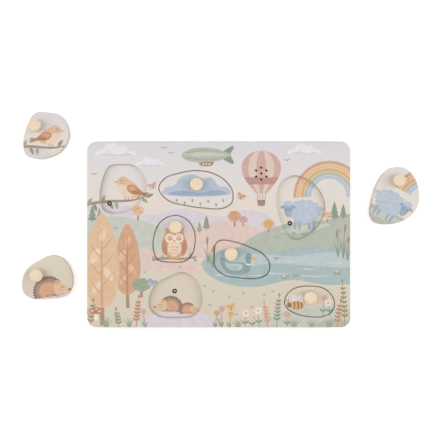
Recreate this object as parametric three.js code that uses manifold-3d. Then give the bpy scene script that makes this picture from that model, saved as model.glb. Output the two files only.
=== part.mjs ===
// Wooden sound puzzle: a printed board with seven pebble-shaped recesses, seven loose pieces with
// turned knobs, and a light sensor in each recess floor that sets off a sound from the speaker.
// Millimetres, +Z up. The origin is the middle of the board's back face, which lies on the table.
import * as THREE from 'three';
import { mergeVertices } from 'three/addons/utils/BufferGeometryUtils.js';
import Module from 'manifold-3d';

const wasm = await Module();
wasm.setup();

// Board: a face panel with the openings, a thin floor panel under it, four rails and a back panel
const BOARD_LENGTH = 300;
const BOARD_WIDTH = 212;
const CORNER_RADIUS = 11;
const FACE_THICKNESS = 8;
const FLOOR_THICKNESS = 2;
const BACK_THICKNESS = 3;
const RAIL_WIDTH = 12;
const EDGE_EASE = 0.6;

// Fits
const PIECE_GAP = 0.8;
const JOIN_GAP = 0.3;

// Turned knob of a puzzle piece
const KNOB_DIAMETER = 15;
const KNOB_HEIGHT = 13;
const KNOB_NECK_DIAMETER = 10;
const TENON_DIAMETER = 6;
const TENON_LENGTH = 5.5;

// Speaker and the holes over it
const SPEAKER_PLACE = [0.324, 0.655];
const SPEAKER_DIAMETER = 29;
const SPEAKER_DEPTH = 4;
const SPEAKER_RIM = 3;
const BASKET_WALL = 0.8;
const MAGNET_DIAMETER = 16;
const MAGNET_THICKNESS = 3;
const GASKET_THICKNESS = 0.8;
const CONE_THICKNESS = 0.5;
const SOUND_HOLE_DIAMETER = 2.6;
const SOUND_HOLE_CIRCLE = 13.6;
const SOUND_HOLES_ROUND = 6;

// Light sensor in a recess floor
const SENSOR_DIAMETER = 5.4;
const SENSOR_LIP = 0.7;
const SENSOR_SETBACK = 0.2;
const SENSOR_FLANGE_DIAMETER = 7;
const SENSOR_FLANGE_THICKNESS = 1.6;
const LENS_SINK = 0.8;

// Circuit board with its moulded sound chip
const CIRCUIT_PLACE = [-0.03, 0.11];
const CIRCUIT_LENGTH = 46;
const CIRCUIT_WIDTH = 32;
const CIRCUIT_THICKNESS = 1.6;
const CIRCUIT_SCREW_INSET = 4;
const CHIP_DIAMETER = 11;
const CHIP_HEIGHT = 2.2;

// Battery housing for two small round cells, let into the back panel from inside
const HOUSING_PLACE = [-0.69, -0.425];
const HOUSING_SETBACK = 0.2;
const CELL_DIAMETER = 10.5;
const CELL_LENGTH = 44.5;
const CELL_GAP = 0.2;
const CELL_NUB_DIAMETER = 3.8;
const CELL_NUB_LENGTH = 1.2;
const CONTACT_ROOM = 3.6;
const CONTACT_THICKNESS = 0.4;
const CONTACT_HEIGHT = 7;
const CONTACT_WIDTH = 9;
const SPRING_WIRE = 0.7;
const SPRING_TURNS = 2.25;
const SPRING_BASE_DIAMETER = 6.4;
const SPRING_TIP_DIAMETER = 4.4;
const WELL_WALL = 1.2;
const ROOF_THICKNESS = 1;
const SKIRT_RADIUS = 3;
const FRAME_WIDTH = 3;
const FLANGE_REACH = 7;
const FLANGE_THICKNESS = 1.5;

// Battery door with its two tabs and its captive screw
const DOOR_THICKNESS = 1.6;
const DOOR_LEDGE = 2;
const DOOR_RADIUS = 2;
const TAB_WIDTH = 5;
const TAB_LENGTH = 1.5;
const TAB_THICKNESS = 0.8;
const TAB_OFFSET = 7;
const TAB_SWING_ROOM = 0.9;
const BOSS_LENGTH = 8;
const BOSS_HEIGHT = 7;
const BOSS_BORE_ROOM = 0.6;

// On and off slide switch in the same housing
const SWITCH_BAY = 16;
const SWITCH_FACE = 1.5;
const SWITCH_LENGTH = 13;
const SWITCH_WIDTH = 6.6;
const SWITCH_HEIGHT = 6;
const SLIDER_TRAVEL = 4;
const SLIDER_LENGTH = 4.4;
const SLIDER_WIDTH = 3.6;
const SLIDER_STEM_WIDTH = 1.8;
const SLIDER_STEM_REACH = 2.2;
const SLIDER_SETBACK = 0.2;
const GRIP_DEPTH = 0.4;

// Screws: head diameter, shank diameter and length under the head's face
const BACK_SCREW = { head: 6, shank: 3, length: 11, sink: 0.3 };
const DOOR_SCREW = { head: 5, shank: 2.6, length: 6.5, sink: 0.15 };
const CORNER_SCREW_INSET = 15;
const PAN_SCREW = { head: 4.2, headHeight: 1.5, shank: 2 };
const CIRCUIT_SCREW_BITE = 1.4;
const FLANGE_SCREW_BITE = 2.2;

// Facets
const OUTLINE_STEPS = 36;
const ROUND_STEPS = 12;
const KNOB_STEPS = 16;
const SMALL_STEPS = 8;
const CORNER_STEPS = 6;
const SPRING_STEPS = 24;
const WIRE_STEPS = 3;

// Levels, from the table up: the cells set how deep the bay between back and floor panel is
const doorInside = HOUSING_SETBACK + DOOR_THICKNESS;
const cellAxis = doorInside + CELL_GAP + CELL_DIAMETER / 2;
const wellRoof = doorInside + 2 * CELL_GAP + CELL_DIAMETER;
const bayTop = wellRoof + ROOF_THICKNESS + JOIN_GAP;
const floorTop = bayTop + FLOOR_THICKNESS;
const sensorFace = floorTop - SENSOR_SETBACK;
const flangeTop = BACK_THICKNESS + FLANGE_THICKNESS;
const ledge = doorInside + JOIN_GAP;

// The seven recesses. place: middle of the recess, as shares of the board's half length and width.
// outline: points of a smooth closed curve round that middle, clockwise. knob and sensor: from the
// same middle. laid: a piece that lies beside the board, with its turn in degrees.
const RECESSES = [
  {
    name: 'upper_left',
    place: [-0.735, 0.493],
    outline: [[-15.2, 25.3], [-0.5, 27.8], [15.7, 25.3], [26.3, 12.1], [27.8, -1.5], [18.2, -18.8],
      [-2.5, -28.3], [-20.2, -25.3], [-25.5, -10.6], [-22.5, 10.1]],
    knob: [-10.7, 9.8],
    sensor: [-15.4, -16.8],
    laid: { side: -1, away: 51.7, along: 114.5, turn: -6 },
  },
  {
    name: 'lower_left',
    place: [-0.322, -0.675],
    outline: [[6.6, 28.3], [20.2, 22.3], [28.3, 7.6], [28.8, -8.6], [20.2, -21.3], [-0.5, -23.8],
      [-21.2, -21.8], [-30.3, -13.1], [-30.8, 0.5], [-23.8, 14.2], [-9.6, 22.8]],
    knob: [-10.6, 5.6],
    sensor: [-2.4, 6.2],
    laid: { side: -1, away: 48.6, along: -52.3, turn: 4 },
  },
  {
    name: 'right',
    place: [0.617, 0.295],
    outline: [[-6.6, 35.8], [6.6, 32.8], [18.7, 23.8], [27.3, 10.1], [28.8, -4.6], [21.3, -21.5],
      [7.7, -33.4], [-5, -37.7], [-14.9, -31.8], [-22.3, -15.2], [-26.8, 5.6], [-24.3, 23.2], [-17.2, 31.8]],
    knob: [-7.7, 17.7],
    sensor: [-10.7, -18.6],
    laid: { side: 1, away: 54.7, along: 42.9, turn: -32 },
  },
  {
    name: 'upper_middle',
    place: [-0.162, 0.481],
    outline: [[-44.6, 1.5], [-37.7, 12.9], [-22.7, 18.8], [-1.5, 22.2], [16.6, 19.5], [31.7, 10.9],
      [40.4, -1.5], [39.6, -15.2], [28.3, -21.8], [8.6, -21.5], [-13.4, -18.5], [-34.2, -12.3]],
    knob: [-0.6, 5.8],
    sensor: [-18, -6],
  },
  {
    name: 'middle_left',
    place: [-0.34, -0.06],
    outline: [[0.5, 28.5], [14, 24.3], [22.6, 12.8], [24.7, 0], [20.9, -16.8], [12.3, -24.7], [-3.5, -25.7],
      [-18.3, -23], [-24, -10.7], [-22.9, 5.5], [-15.5, 21.1]],
    knob: [2.3, 14.9],
    sensor: [-6, -10],
  },
  {
    name: 'middle',
    place: [0.16, -0.283],
    outline: [[-20.2, 23.9], [-4.2, 21.5], [11.3, 16], [26.4, 8.3], [34.5, -3.5], [31.9, -15.2],
      [20.2, -20.5], [0.5, -20], [-17.4, -17], [-28.3, -7.4], [-29.5, 7.6], [-27.5, 20]],
    knob: [-9.9, 7.9],
    sensor: [-12, -6],
  },
  {
    name: 'lower_right',
    place: [0.698, -0.726],
    outline: [[-30.1, 0.6], [-25.5, 10.7], [-15.4, 16.9], [0, 18.4], [13.6, 16.5], [24.1, 8.4], [27.9, -1.5],
      [24.2, -12.1], [12.6, -17.4], [-4.6, -17], [-19.4, -12.9], [-27.8, -6.5]],
    knob: [-1.4, 5.7],
    sensor: [-8, -5],
  },
];

const material = (color, roughness, metalness = 0) =>
  new THREE.MeshStandardMaterial({ color, roughness, metalness });
const PRINTED_WOOD = material('#d9d2c0', 0.6);
const BARE_WOOD = material('#cdb591', 0.7);
const BEECH = material('#dcb88c', 0.55);
const BLACK_PLASTIC = material('#1c1b1a', 0.45);
const WHITE_PLASTIC = material('#e4e0d6', 0.5);
const STEEL = material('#b9bbbd', 0.35, 1);
const FERRITE = material('#3a3a3c', 0.6);
const FOAM = material('#2b2b2d', 0.95);
const FILM = material('#c9c2b0', 0.4);
const CIRCUIT_GREEN = material('#2f6b48', 0.5);
const CELL_JACKET = material('#8c949c', 0.35, 0.4);

// A place on the board from its shares of the half length and half width
const onBoard = ([across, up]) => [across * BOARD_LENGTH / 2, up * BOARD_WIDTH / 2];

// Solids for cutting and joining, and back to geometry
function toSolid(geometry) {
  const bare = geometry.clone();
  bare.deleteAttribute('normal');
  bare.deleteAttribute('uv');
  const merged = mergeVertices(bare);
  const corners = merged.index.array;
  const triVerts = [];
  for (let i = 0; i < corners.length; i += 3) {
    const [a, b, c] = [corners[i], corners[i + 1], corners[i + 2]];
    if (a !== b && b !== c && c !== a) triVerts.push(a, b, c);
  }
  const vertProperties = new Float32Array(merged.attributes.position.array);
  const mesh = new wasm.Mesh({ numProp: 3, vertProperties, triVerts: new Uint32Array(triVerts) });
  return new wasm.Manifold(mesh);
}

function toGeometry(solid) {
  const { vertProperties, triVerts } = solid.getMesh();
  const geometry = new THREE.BufferGeometry();
  geometry.setAttribute('position', new THREE.BufferAttribute(new Float32Array(vertProperties), 3));
  geometry.setIndex(new THREE.BufferAttribute(new Uint32Array(triVerts), 1));
  geometry.computeVertexNormals();
  return geometry;
}

function cut(geometry, tools) {
  let solid = toSolid(geometry);
  for (const tool of tools) solid = solid.subtract(toSolid(tool));
  return toGeometry(solid);
}

function join(geometries) {
  let solid = toSolid(geometries[0]);
  for (const other of geometries.slice(1)) solid = solid.add(toSolid(other));
  return toGeometry(solid);
}

// Plain forms: a slab from an outline, a box between two corners, a turned form about the Z axis
function slab(shape, bottom, top, curveSegments = CORNER_STEPS) {
  const settings = { depth: top - bottom, bevelEnabled: false, curveSegments };
  return new THREE.ExtrudeGeometry(shape, settings).translate(0, 0, bottom);
}

function box([x0, x1], [y0, y1], [z0, z1]) {
  const geometry = new THREE.BoxGeometry(x1 - x0, y1 - y0, z1 - z0);
  return geometry.translate((x0 + x1) / 2, (y0 + y1) / 2, (z0 + z1) / 2);
}

function turned(profile, steps = ROUND_STEPS) {
  const points = profile.map(([radius, height]) => new THREE.Vector2(radius, height));
  return new THREE.LatheGeometry(points, steps).rotateX(Math.PI / 2);
}

function rod(diameter, [bottom, top], [x, y], steps = SMALL_STEPS) {
  const radius = diameter / 2;
  const profile = [[0, bottom], [radius, bottom], [radius, top], [0, top]];
  return turned(profile, steps).translate(x, y, 0);
}

function roundedRectangle([x0, x1], [y0, y1], radius) {
  const shape = new THREE.Shape();
  shape.absarc(x1 - radius, y1 - radius, radius, 0, Math.PI / 2);
  shape.absarc(x0 + radius, y1 - radius, radius, Math.PI / 2, Math.PI);
  shape.absarc(x0 + radius, y0 + radius, radius, Math.PI, Math.PI * 1.5);
  shape.absarc(x1 - radius, y0 + radius, radius, Math.PI * 1.5, Math.PI * 2);
  return shape;
}

const centred = (size) => [-size / 2, size / 2];
const grown = ([low, high], by) => [low - by, high + by];
const boardOutline = () => roundedRectangle(centred(BOARD_LENGTH), centred(BOARD_WIDTH), CORNER_RADIUS);

// A recess outline as even steps of its curve, drawn in by a clearance
function pebble(outline, clearance) {
  const points = outline.map(([x, y]) => new THREE.Vector3(x, y, 0));
  const loop = new THREE.CatmullRomCurve3(points, true).getSpacedPoints(OUTLINE_STEPS).slice(0, -1);
  return loop.map((point, i) => {
    const before = loop[(i + OUTLINE_STEPS - 1) % OUTLINE_STEPS];
    const after = loop[(i + 1) % OUTLINE_STEPS];
    const along = after.clone().sub(before).normalize();
    return new THREE.Vector2(point.x + along.y * clearance, point.y - along.x * clearance);
  });
}

// A plate whose edges are eased at both faces, round its outline and its openings alike
function easedPlate(shape, thickness) {
  const geometry = new THREE.ExtrudeGeometry(shape, {
    depth: thickness - 2 * EDGE_EASE,
    bevelThickness: EDGE_EASE,
    bevelSize: EDGE_EASE,
    bevelOffset: -EDGE_EASE,
    bevelSegments: 1,
    curveSegments: CORNER_STEPS,
  });
  return geometry.translate(0, 0, EDGE_EASE);
}

// Screws point up, with the face of the head at their origin
function countersunkProfile({ head, shank, length }, room) {
  const coneDepth = (head - shank) / 2;
  const radius = shank / 2 + room;
  return [[0, 0], [head / 2 + room, 0], [radius, coneDepth], [radius, length + room], [0, length + room]];
}

function countersunkScrew(screw) {
  const [start, rim, neck] = countersunkProfile(screw, 0);
  const radius = screw.shank / 2;
  return turned([start, rim, neck, [radius, screw.length - radius], [0, screw.length]], SMALL_STEPS);
}

// The hole for a countersunk screw, opened through the face that the head lies under
function countersunkHole(screw, [x, y]) {
  const profile = countersunkProfile(screw, JOIN_GAP);
  const mouth = [[0, -screw.sink - JOIN_GAP], [profile[1][0], -screw.sink - JOIN_GAP]];
  return turned([...mouth, ...profile.slice(1)], SMALL_STEPS).translate(x, y, screw.sink);
}

// A pan-head screw with its seat at the origin, its head below and its shank up
function panScrew(shankLength) {
  const { head, headHeight, shank } = PAN_SCREW;
  const dome = [[0, -headHeight], [head * 0.32, -headHeight], [head / 2, -headHeight * 0.4]];
  const seat = [[head / 2, 0], [shank / 2, 0]];
  return turned([...dome, ...seat, [shank / 2, shankLength], [0, shankLength]], SMALL_STEPS);
}

const panScrewBore = PAN_SCREW.shank + 2 * JOIN_GAP;

const object = new THREE.Group();

function place(name, geometry, look, parent = object) {
  const mesh = new THREE.Mesh(geometry, look);
  mesh.name = name;
  parent.add(mesh);
  return mesh;
}

// Face panel: the recess openings go right through, the sound holes stand over the speaker
const speakerAt = onBoard(SPEAKER_PLACE);

function soundHoles() {
  const holes = [speakerAt];
  for (let i = 0; i < SOUND_HOLES_ROUND; i += 1) {
    const angle = Math.PI / 2 + i * 2 * Math.PI / SOUND_HOLES_ROUND;
    const reach = SOUND_HOLE_CIRCLE / 2;
    holes.push([speakerAt[0] + reach * Math.cos(angle), speakerAt[1] + reach * Math.sin(angle)]);
  }
  return holes;
}

function facePanel() {
  const outline = boardOutline();
  for (const { place: share, outline: points } of RECESSES) {
    const [x, y] = onBoard(share);
    const loop = pebble(points, 0).map((point) => new THREE.Vector2(point.x + x, point.y + y));
    outline.holes.push(new THREE.Path(loop));
  }
  const eased = easedPlate(outline, FACE_THICKNESS + EDGE_EASE).translate(0, 0, -EDGE_EASE);
  const margin = grown(centred(BOARD_LENGTH), EDGE_EASE);
  const glueFace = box(margin, grown(centred(BOARD_WIDTH), EDGE_EASE), [-2 * EDGE_EASE, 0]);
  const through = grown([0, FACE_THICKNESS], JOIN_GAP);
  const drills = soundHoles().map((at) => rod(SOUND_HOLE_DIAMETER, through, at));
  return cut(eased, [glueFace, ...drills]);
}
place('face_panel', facePanel(), PRINTED_WOOD).position.z = floorTop;

// Floor panel: one sheet that floors every recess, with the sensors' holes and one for the sound
const sensorPlaces = RECESSES.map(({ place: share, sensor }) => {
  const [x, y] = onBoard(share);
  return [x + sensor[0], y + sensor[1]];
});
const circuitAt = onBoard(CIRCUIT_PLACE);
const circuitScrews = [-1, 1].map((side) => [
  circuitAt[0] + side * (CIRCUIT_LENGTH / 2 - CIRCUIT_SCREW_INSET),
  circuitAt[1] + side * (CIRCUIT_WIDTH / 2 - CIRCUIT_SCREW_INSET),
]);

function floorPanel() {
  const sheet = slab(boardOutline(), 0, FLOOR_THICKNESS);
  const through = grown([0, FLOOR_THICKNESS], JOIN_GAP);
  const pilot = grown([0, CIRCUIT_SCREW_BITE], JOIN_GAP);
  const bores = sensorPlaces.map((at) => rod(SENSOR_DIAMETER + 2 * JOIN_GAP, through, at, ROUND_STEPS));
  bores.push(rod(SPEAKER_DIAMETER - 2 * SPEAKER_RIM, through, speakerAt, 2 * ROUND_STEPS));
  for (const at of circuitScrews) bores.push(rod(panScrewBore, pilot, at));
  return cut(sheet, bores);
}
place('floor_panel', floorPanel(), PRINTED_WOOD).position.z = bayTop;

// Rails: the long ones carry the rounded corners and the short ones stand between them
const screwRow = BOARD_WIDTH / 2 - RAIL_WIDTH / 2;
const screwColumn = BOARD_LENGTH / 2 - RAIL_WIDTH / 2;
const cornerColumn = BOARD_LENGTH / 2 - CORNER_SCREW_INSET;
const railHeight = bayTop - BACK_THICKNESS;

function railWithHoles(shape, holes) {
  const sunk = BACK_SCREW.sink - BACK_THICKNESS;
  const bores = holes.map(([x, y]) => turned(countersunkProfile(BACK_SCREW, JOIN_GAP), SMALL_STEPS)
    .translate(x, y, sunk));
  return cut(slab(shape, 0, railHeight), bores);
}

function longRail(side) {
  const [inner, outer] = [side * (BOARD_WIDTH / 2 - RAIL_WIDTH), side * BOARD_WIDTH / 2];
  const reach = BOARD_LENGTH / 2;
  const [arcX, arcY] = [reach - CORNER_RADIUS, outer - side * CORNER_RADIUS];
  const quarter = side * Math.PI / 2;
  const shape = new THREE.Shape();
  shape.moveTo(-reach, inner);
  shape.lineTo(reach, inner);
  shape.absarc(arcX, arcY, CORNER_RADIUS, 0, quarter, side < 0);
  shape.absarc(-arcX, arcY, CORNER_RADIUS, quarter, 2 * quarter, side < 0);
  const holes = [-cornerColumn, 0, cornerColumn].map((x) => [x, side * screwRow]);
  return railWithHoles(shape, holes);
}

function shortRail(side) {
  const reach = BOARD_WIDTH / 2 - RAIL_WIDTH;
  const [inner, outer] = [side * (BOARD_LENGTH / 2 - RAIL_WIDTH), side * BOARD_LENGTH / 2];
  const corners = [[inner, -reach], [outer, -reach], [outer, reach], [inner, reach]];
  const shape = new THREE.Shape(corners.map(([x, y]) => new THREE.Vector2(x, y)));
  return railWithHoles(shape, [[side * screwColumn, 0]]);
}
const rails = {
  top_rail: longRail(1),
  bottom_rail: longRail(-1),
  left_rail: shortRail(-1),
  right_rail: shortRail(1),
};
for (const [name, geometry] of Object.entries(rails)) {
  place(name, geometry, BARE_WOOD).position.z = BACK_THICKNESS;
}

// Battery housing, in its own frame with the cells along Y and the door's free end at +Y
const housing = new THREE.Group();
const housingAt = onBoard(HOUSING_PLACE);
housing.position.set(...housingAt, 0);
object.add(housing);

const wellLength = CELL_LENGTH + 2 * CONTACT_ROOM;
const wellWidth = 2 * CELL_DIAMETER + 3 * CELL_GAP;
const cellOffset = (CELL_DIAMETER + CELL_GAP) / 2;
const doorWidth = wellWidth + 2 * DOOR_LEDGE;
const hingeEnd = -wellLength / 2 - DOOR_LEDGE;
const freeEnd = wellLength / 2 + BOSS_LENGTH;
const doorScrewAt = [0, freeEnd - BOSS_LENGTH / 2];
const switchAt = freeEnd + JOIN_GAP + SWITCH_BAY / 2;
const skirtWidth = centred(doorWidth + 2 * (JOIN_GAP + FRAME_WIDTH));
const skirtLength = [hingeEnd - JOIN_GAP - FRAME_WIDTH, freeEnd + JOIN_GAP + SWITCH_BAY];
const flangeScrews = [[0, skirtLength[0] - FLANGE_REACH / 2], [0, skirtLength[1] + FLANGE_REACH / 2]];
const tabPlaces = [-TAB_OFFSET, TAB_OFFSET];

const doorOutline = (room) => roundedRectangle(grown(centred(doorWidth), room),
  grown([hingeEnd, freeEnd], room), DOOR_RADIUS + room);
const skirtOutline = (room) => roundedRectangle(grown(skirtWidth, room), grown(skirtLength, room),
  SKIRT_RADIUS + room);

function batteryHousing() {
  const skirt = slab(skirtOutline(0), HOUSING_SETBACK, flangeTop);
  const flange = slab(skirtOutline(FLANGE_REACH), BACK_THICKNESS, flangeTop);
  const well = box(centred(wellWidth + 2 * WELL_WALL), centred(wellLength + 2 * WELL_WALL),
    [HOUSING_SETBACK, wellRoof + ROOF_THICKNESS]);
  const boss = box(centred(BOSS_LENGTH), [wellLength / 2, freeEnd], [HOUSING_SETBACK, ledge + BOSS_HEIGHT]);
  const body = join([skirt, flange, well, boss]);

  const doorway = slab(doorOutline(JOIN_GAP), 0, ledge);
  const cellRoom = box(centred(wellWidth), centred(wellLength), [0, wellRoof]);
  const tabSlots = tabPlaces.map((x) => box(grown([x - TAB_WIDTH / 2, x + TAB_WIDTH / 2], JOIN_GAP),
    [hingeEnd - TAB_LENGTH - JOIN_GAP, hingeEnd + DOOR_LEDGE + JOIN_GAP],
    [doorInside - TAB_THICKNESS - JOIN_GAP, ledge + TAB_SWING_ROOM]));
  const boreTop = ledge + BOSS_HEIGHT - WELL_WALL;
  const bossBore = rod(DOOR_SCREW.shank + 2 * BOSS_BORE_ROOM, [0, boreTop], doorScrewAt);
  const switchPocket = box(grown(centred(SWITCH_LENGTH), JOIN_GAP),
    [switchAt - SWITCH_WIDTH / 2 - JOIN_GAP, switchAt + SWITCH_WIDTH / 2 + JOIN_GAP],
    [HOUSING_SETBACK + SWITCH_FACE, flangeTop + JOIN_GAP]);
  const switchSlot = box(grown(centred(SLIDER_LENGTH + SLIDER_TRAVEL), JOIN_GAP),
    [switchAt - SLIDER_WIDTH / 2 - JOIN_GAP, switchAt + SLIDER_WIDTH / 2 + JOIN_GAP], [0, flangeTop]);
  const screwHoles = flangeScrews.map((at) => rod(panScrewBore, [0, flangeTop + JOIN_GAP], at));
  return cut(body, [doorway, cellRoom, ...tabSlots, bossBore, switchPocket, switchSlot, ...screwHoles]);
}
place('battery_housing', batteryHousing(), BLACK_PLASTIC, housing);

function batteryDoor() {
  const plate = slab(doorOutline(0), HOUSING_SETBACK, doorInside);
  const tabs = tabPlaces.map((x) => box([x - TAB_WIDTH / 2, x + TAB_WIDTH / 2],
    [hingeEnd - TAB_LENGTH, hingeEnd + TAB_LENGTH], [doorInside - TAB_THICKNESS, doorInside]));
  const screwHole = countersunkHole(DOOR_SCREW, doorScrewAt).translate(0, 0, HOUSING_SETBACK);
  return cut(join([plate, ...tabs]), [screwHole]);
}
place('battery_door', batteryDoor(), BLACK_PLASTIC, housing);
place('battery_door_screw', countersunkScrew(DOOR_SCREW), STEEL, housing)
  .position.set(...doorScrewAt, HOUSING_SETBACK + DOOR_SCREW.sink);

// Two cells side by side, the second turned end for end
function cell() {
  const [radius, nub] = [CELL_DIAMETER / 2, CELL_NUB_DIAMETER / 2];
  const [bottom, shoulder, top] = [-CELL_LENGTH / 2, CELL_LENGTH / 2 - CELL_NUB_LENGTH, CELL_LENGTH / 2];
  const profile = [[0, bottom], [radius, bottom], [radius, shoulder], [nub, shoulder], [nub, top], [0, top]];
  return turned(profile, 2 * ROUND_STEPS).rotateX(Math.PI / 2);
}
place('battery_cell_1', cell(), CELL_JACKET, housing).position.set(-cellOffset, 0, cellAxis);
const turnedCell = place('battery_cell_2', cell(), CELL_JACKET, housing);
turnedCell.position.set(cellOffset, 0, cellAxis);
turnedCell.rotation.z = Math.PI;

// Contacts stand against the end walls: a spring meets a cell's flat end and a dimple its nub
class ConeSpiral extends THREE.Curve {
  constructor(height) {
    super();
    this.height = height;
  }

  getPoint(t, target = new THREE.Vector3()) {
    const angle = t * SPRING_TURNS * 2 * Math.PI;
    const outside = THREE.MathUtils.lerp(SPRING_BASE_DIAMETER, SPRING_TIP_DIAMETER, t);
    const radius = (outside - SPRING_WIRE) / 2;
    return target.set(radius * Math.cos(angle), radius * Math.sin(angle), t * this.height);
  }
}

const contactReach = CONTACT_ROOM - 2 * JOIN_GAP - CONTACT_THICKNESS;

function spring() {
  const section = new THREE.Shape();
  section.absarc(0, 0, SPRING_WIRE / 2, 0, Math.PI * 2);
  const extrudePath = new ConeSpiral(contactReach - SPRING_WIRE / 2);
  const settings = { extrudePath, steps: SPRING_STEPS, curveSegments: WIRE_STEPS };
  return new THREE.ExtrudeGeometry(section, settings);
}

function dimple() {
  const [base, tip] = [SPRING_TIP_DIAMETER / 2, CELL_NUB_DIAMETER / 4];
  const root = -CONTACT_THICKNESS / 2;
  return turned([[0, root], [base, root], [base, 0], [tip, contactReach], [0, contactReach]]);
}

// Contacts are drawn lying, with the strip at the bottom, and then stood up at an end of the well
function contact(strip, springs, dimples) {
  const plate = box(strip, centred(CONTACT_HEIGHT), [-CONTACT_THICKNESS, 0]);
  const coils = springs.map((x) => spring().translate(x, 0, 0));
  const bumps = dimples.map((x) => dimple().translate(x, 0, 0));
  return join([plate, ...coils, ...bumps]);
}

function standContact(name, geometry, end) {
  const mesh = place(name, geometry, STEEL, housing);
  mesh.rotation.x = end * Math.PI / 2;
  mesh.position.set(0, end * (wellLength / 2 - JOIN_GAP - CONTACT_THICKNESS), cellAxis);
}
const oneCell = (x) => [x - CONTACT_WIDTH / 2, x + CONTACT_WIDTH / 2];
const bothCells = grown(centred(2 * cellOffset), CONTACT_WIDTH / 2);
standContact('contact_spring', contact(oneCell(-cellOffset), [-cellOffset], []), 1);
standContact('contact_plate', contact(oneCell(cellOffset), [], [cellOffset]), 1);
standContact('contact_bridge', contact(bothCells, [cellOffset], [-cellOffset]), -1);

// Slide switch: its body stands on the housing's face and its slider shows in the slot
function switchBody() {
  const body = box(centred(SWITCH_LENGTH), centred(SWITCH_WIDTH), [0, SWITCH_HEIGHT]);
  const channel = box(grown(centred(SLIDER_LENGTH + SLIDER_TRAVEL), JOIN_GAP),
    grown(centred(SLIDER_STEM_WIDTH), JOIN_GAP), [-JOIN_GAP, SLIDER_STEM_REACH + JOIN_GAP]);
  return cut(body, [channel]);
}
const switchSeat = HOUSING_SETBACK + SWITCH_FACE;
place('switch_body', switchBody(), BLACK_PLASTIC, housing).position.set(0, switchAt, switchSeat);

function slider() {
  const face = HOUSING_SETBACK + SLIDER_SETBACK - switchSeat;
  const nub = box(centred(SLIDER_LENGTH), centred(SLIDER_WIDTH), [face, -JOIN_GAP]);
  const stemHeight = [face + GRIP_DEPTH, SLIDER_STEM_REACH];
  const stem = box(centred(SLIDER_LENGTH), centred(SLIDER_STEM_WIDTH), stemHeight);
  const pitch = SLIDER_LENGTH / 5;
  const groove = box(centred(pitch), centred(2 * SLIDER_WIDTH), grown([face, face], GRIP_DEPTH));
  const grooves = [-pitch, pitch].map((x) => groove.clone().translate(x, 0, 0));
  return cut(join([nub, stem]), grooves);
}
place('switch_slider', slider(), WHITE_PLASTIC, housing)
  .position.set(-SLIDER_TRAVEL / 2, switchAt, switchSeat);

flangeScrews.forEach((at, i) => {
  const shankLength = FLANGE_THICKNESS + FLANGE_SCREW_BITE;
  const screw = place(`housing_screw_${i + 1}`, panScrew(shankLength), STEEL, housing);
  screw.rotation.x = Math.PI;
  screw.position.set(...at, flangeTop);
});

// Back panel: a window for the housing's skirt and countersunk holes over the rails
const backScrews = [];
for (const side of [-1, 1]) {
  for (const x of [-cornerColumn, 0, cornerColumn]) backScrews.push([x, side * screwRow]);
  backScrews.push([side * screwColumn, 0]);
}

function backPanel() {
  const sheet = slab(boardOutline(), 0, BACK_THICKNESS);
  const through = grown([0, BACK_THICKNESS], JOIN_GAP);
  const window = slab(skirtOutline(JOIN_GAP), ...through).translate(...housingAt, 0);
  const holes = backScrews.map((at) => countersunkHole(BACK_SCREW, at));
  const pilot = grown([BACK_THICKNESS - FLANGE_SCREW_BITE, BACK_THICKNESS], JOIN_GAP);
  const pilots = flangeScrews.map((at) => rod(panScrewBore, pilot, at).translate(...housingAt, 0));
  return cut(sheet, [window, ...holes, ...pilots]);
}
place('back_panel', backPanel(), BARE_WOOD);
backScrews.forEach((at, i) => {
  place(`back_screw_${i + 1}`, countersunkScrew(BACK_SCREW), STEEL).position.set(...at, BACK_SCREW.sink);
});

// Circuit board under the floor panel, its chip looking down
function circuitBoard() {
  const outline = roundedRectangle(centred(CIRCUIT_LENGTH), centred(CIRCUIT_WIDTH), CIRCUIT_THICKNESS);
  const through = grown([0, CIRCUIT_THICKNESS], JOIN_GAP);
  const holes = circuitScrews.map(([x, y]) => {
    const at = [x - circuitAt[0], y - circuitAt[1]];
    return rod(panScrewBore, through, at);
  });
  return cut(slab(outline, 0, CIRCUIT_THICKNESS), holes);
}
const circuitSeat = bayTop - CIRCUIT_THICKNESS;
place('circuit_board', circuitBoard(), CIRCUIT_GREEN).position.set(...circuitAt, circuitSeat);
circuitScrews.forEach((at, i) => {
  const screw = panScrew(CIRCUIT_THICKNESS + CIRCUIT_SCREW_BITE);
  place(`circuit_screw_${i + 1}`, screw, STEEL).position.set(...at, circuitSeat);
});

function soundChip() {
  const radius = CHIP_DIAMETER / 2;
  const dome = [[0, -CHIP_HEIGHT], [radius * 0.55, -CHIP_HEIGHT * 0.85], [radius * 0.9, -CHIP_HEIGHT * 0.45]];
  return turned([...dome, [radius, 0], [0, 0]]);
}
place('sound_chip', soundChip(), BLACK_PLASTIC).position.set(...circuitAt, circuitSeat);

// Speaker: foam gasket, basket, cone and magnet, hung under the floor panel over the sound holes
const speaker = new THREE.Group();
speaker.position.set(...speakerAt, bayTop);
object.add(speaker);
const speakerRadius = SPEAKER_DIAMETER / 2;
const rimInside = speakerRadius - SPEAKER_RIM;
const basketTop = -GASKET_THICKNESS;
const basketBottom = basketTop - SPEAKER_DEPTH;
const magnetRadius = MAGNET_DIAMETER / 2;

function gasket() {
  return turned([[rimInside, basketTop], [speakerRadius, basketTop], [speakerRadius, 0], [rimInside, 0],
    [rimInside, basketTop]], 2 * ROUND_STEPS);
}

function basket() {
  const outside = [[0, basketBottom], [magnetRadius, basketBottom], [rimInside, basketTop - BASKET_WALL],
    [speakerRadius, basketTop - BASKET_WALL], [speakerRadius, basketTop]];
  const dish = basketBottom + BASKET_WALL;
  const inside = [[rimInside, basketTop], [magnetRadius, dish], [0, dish]];
  return turned([...outside, ...inside], 2 * ROUND_STEPS);
}

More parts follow.
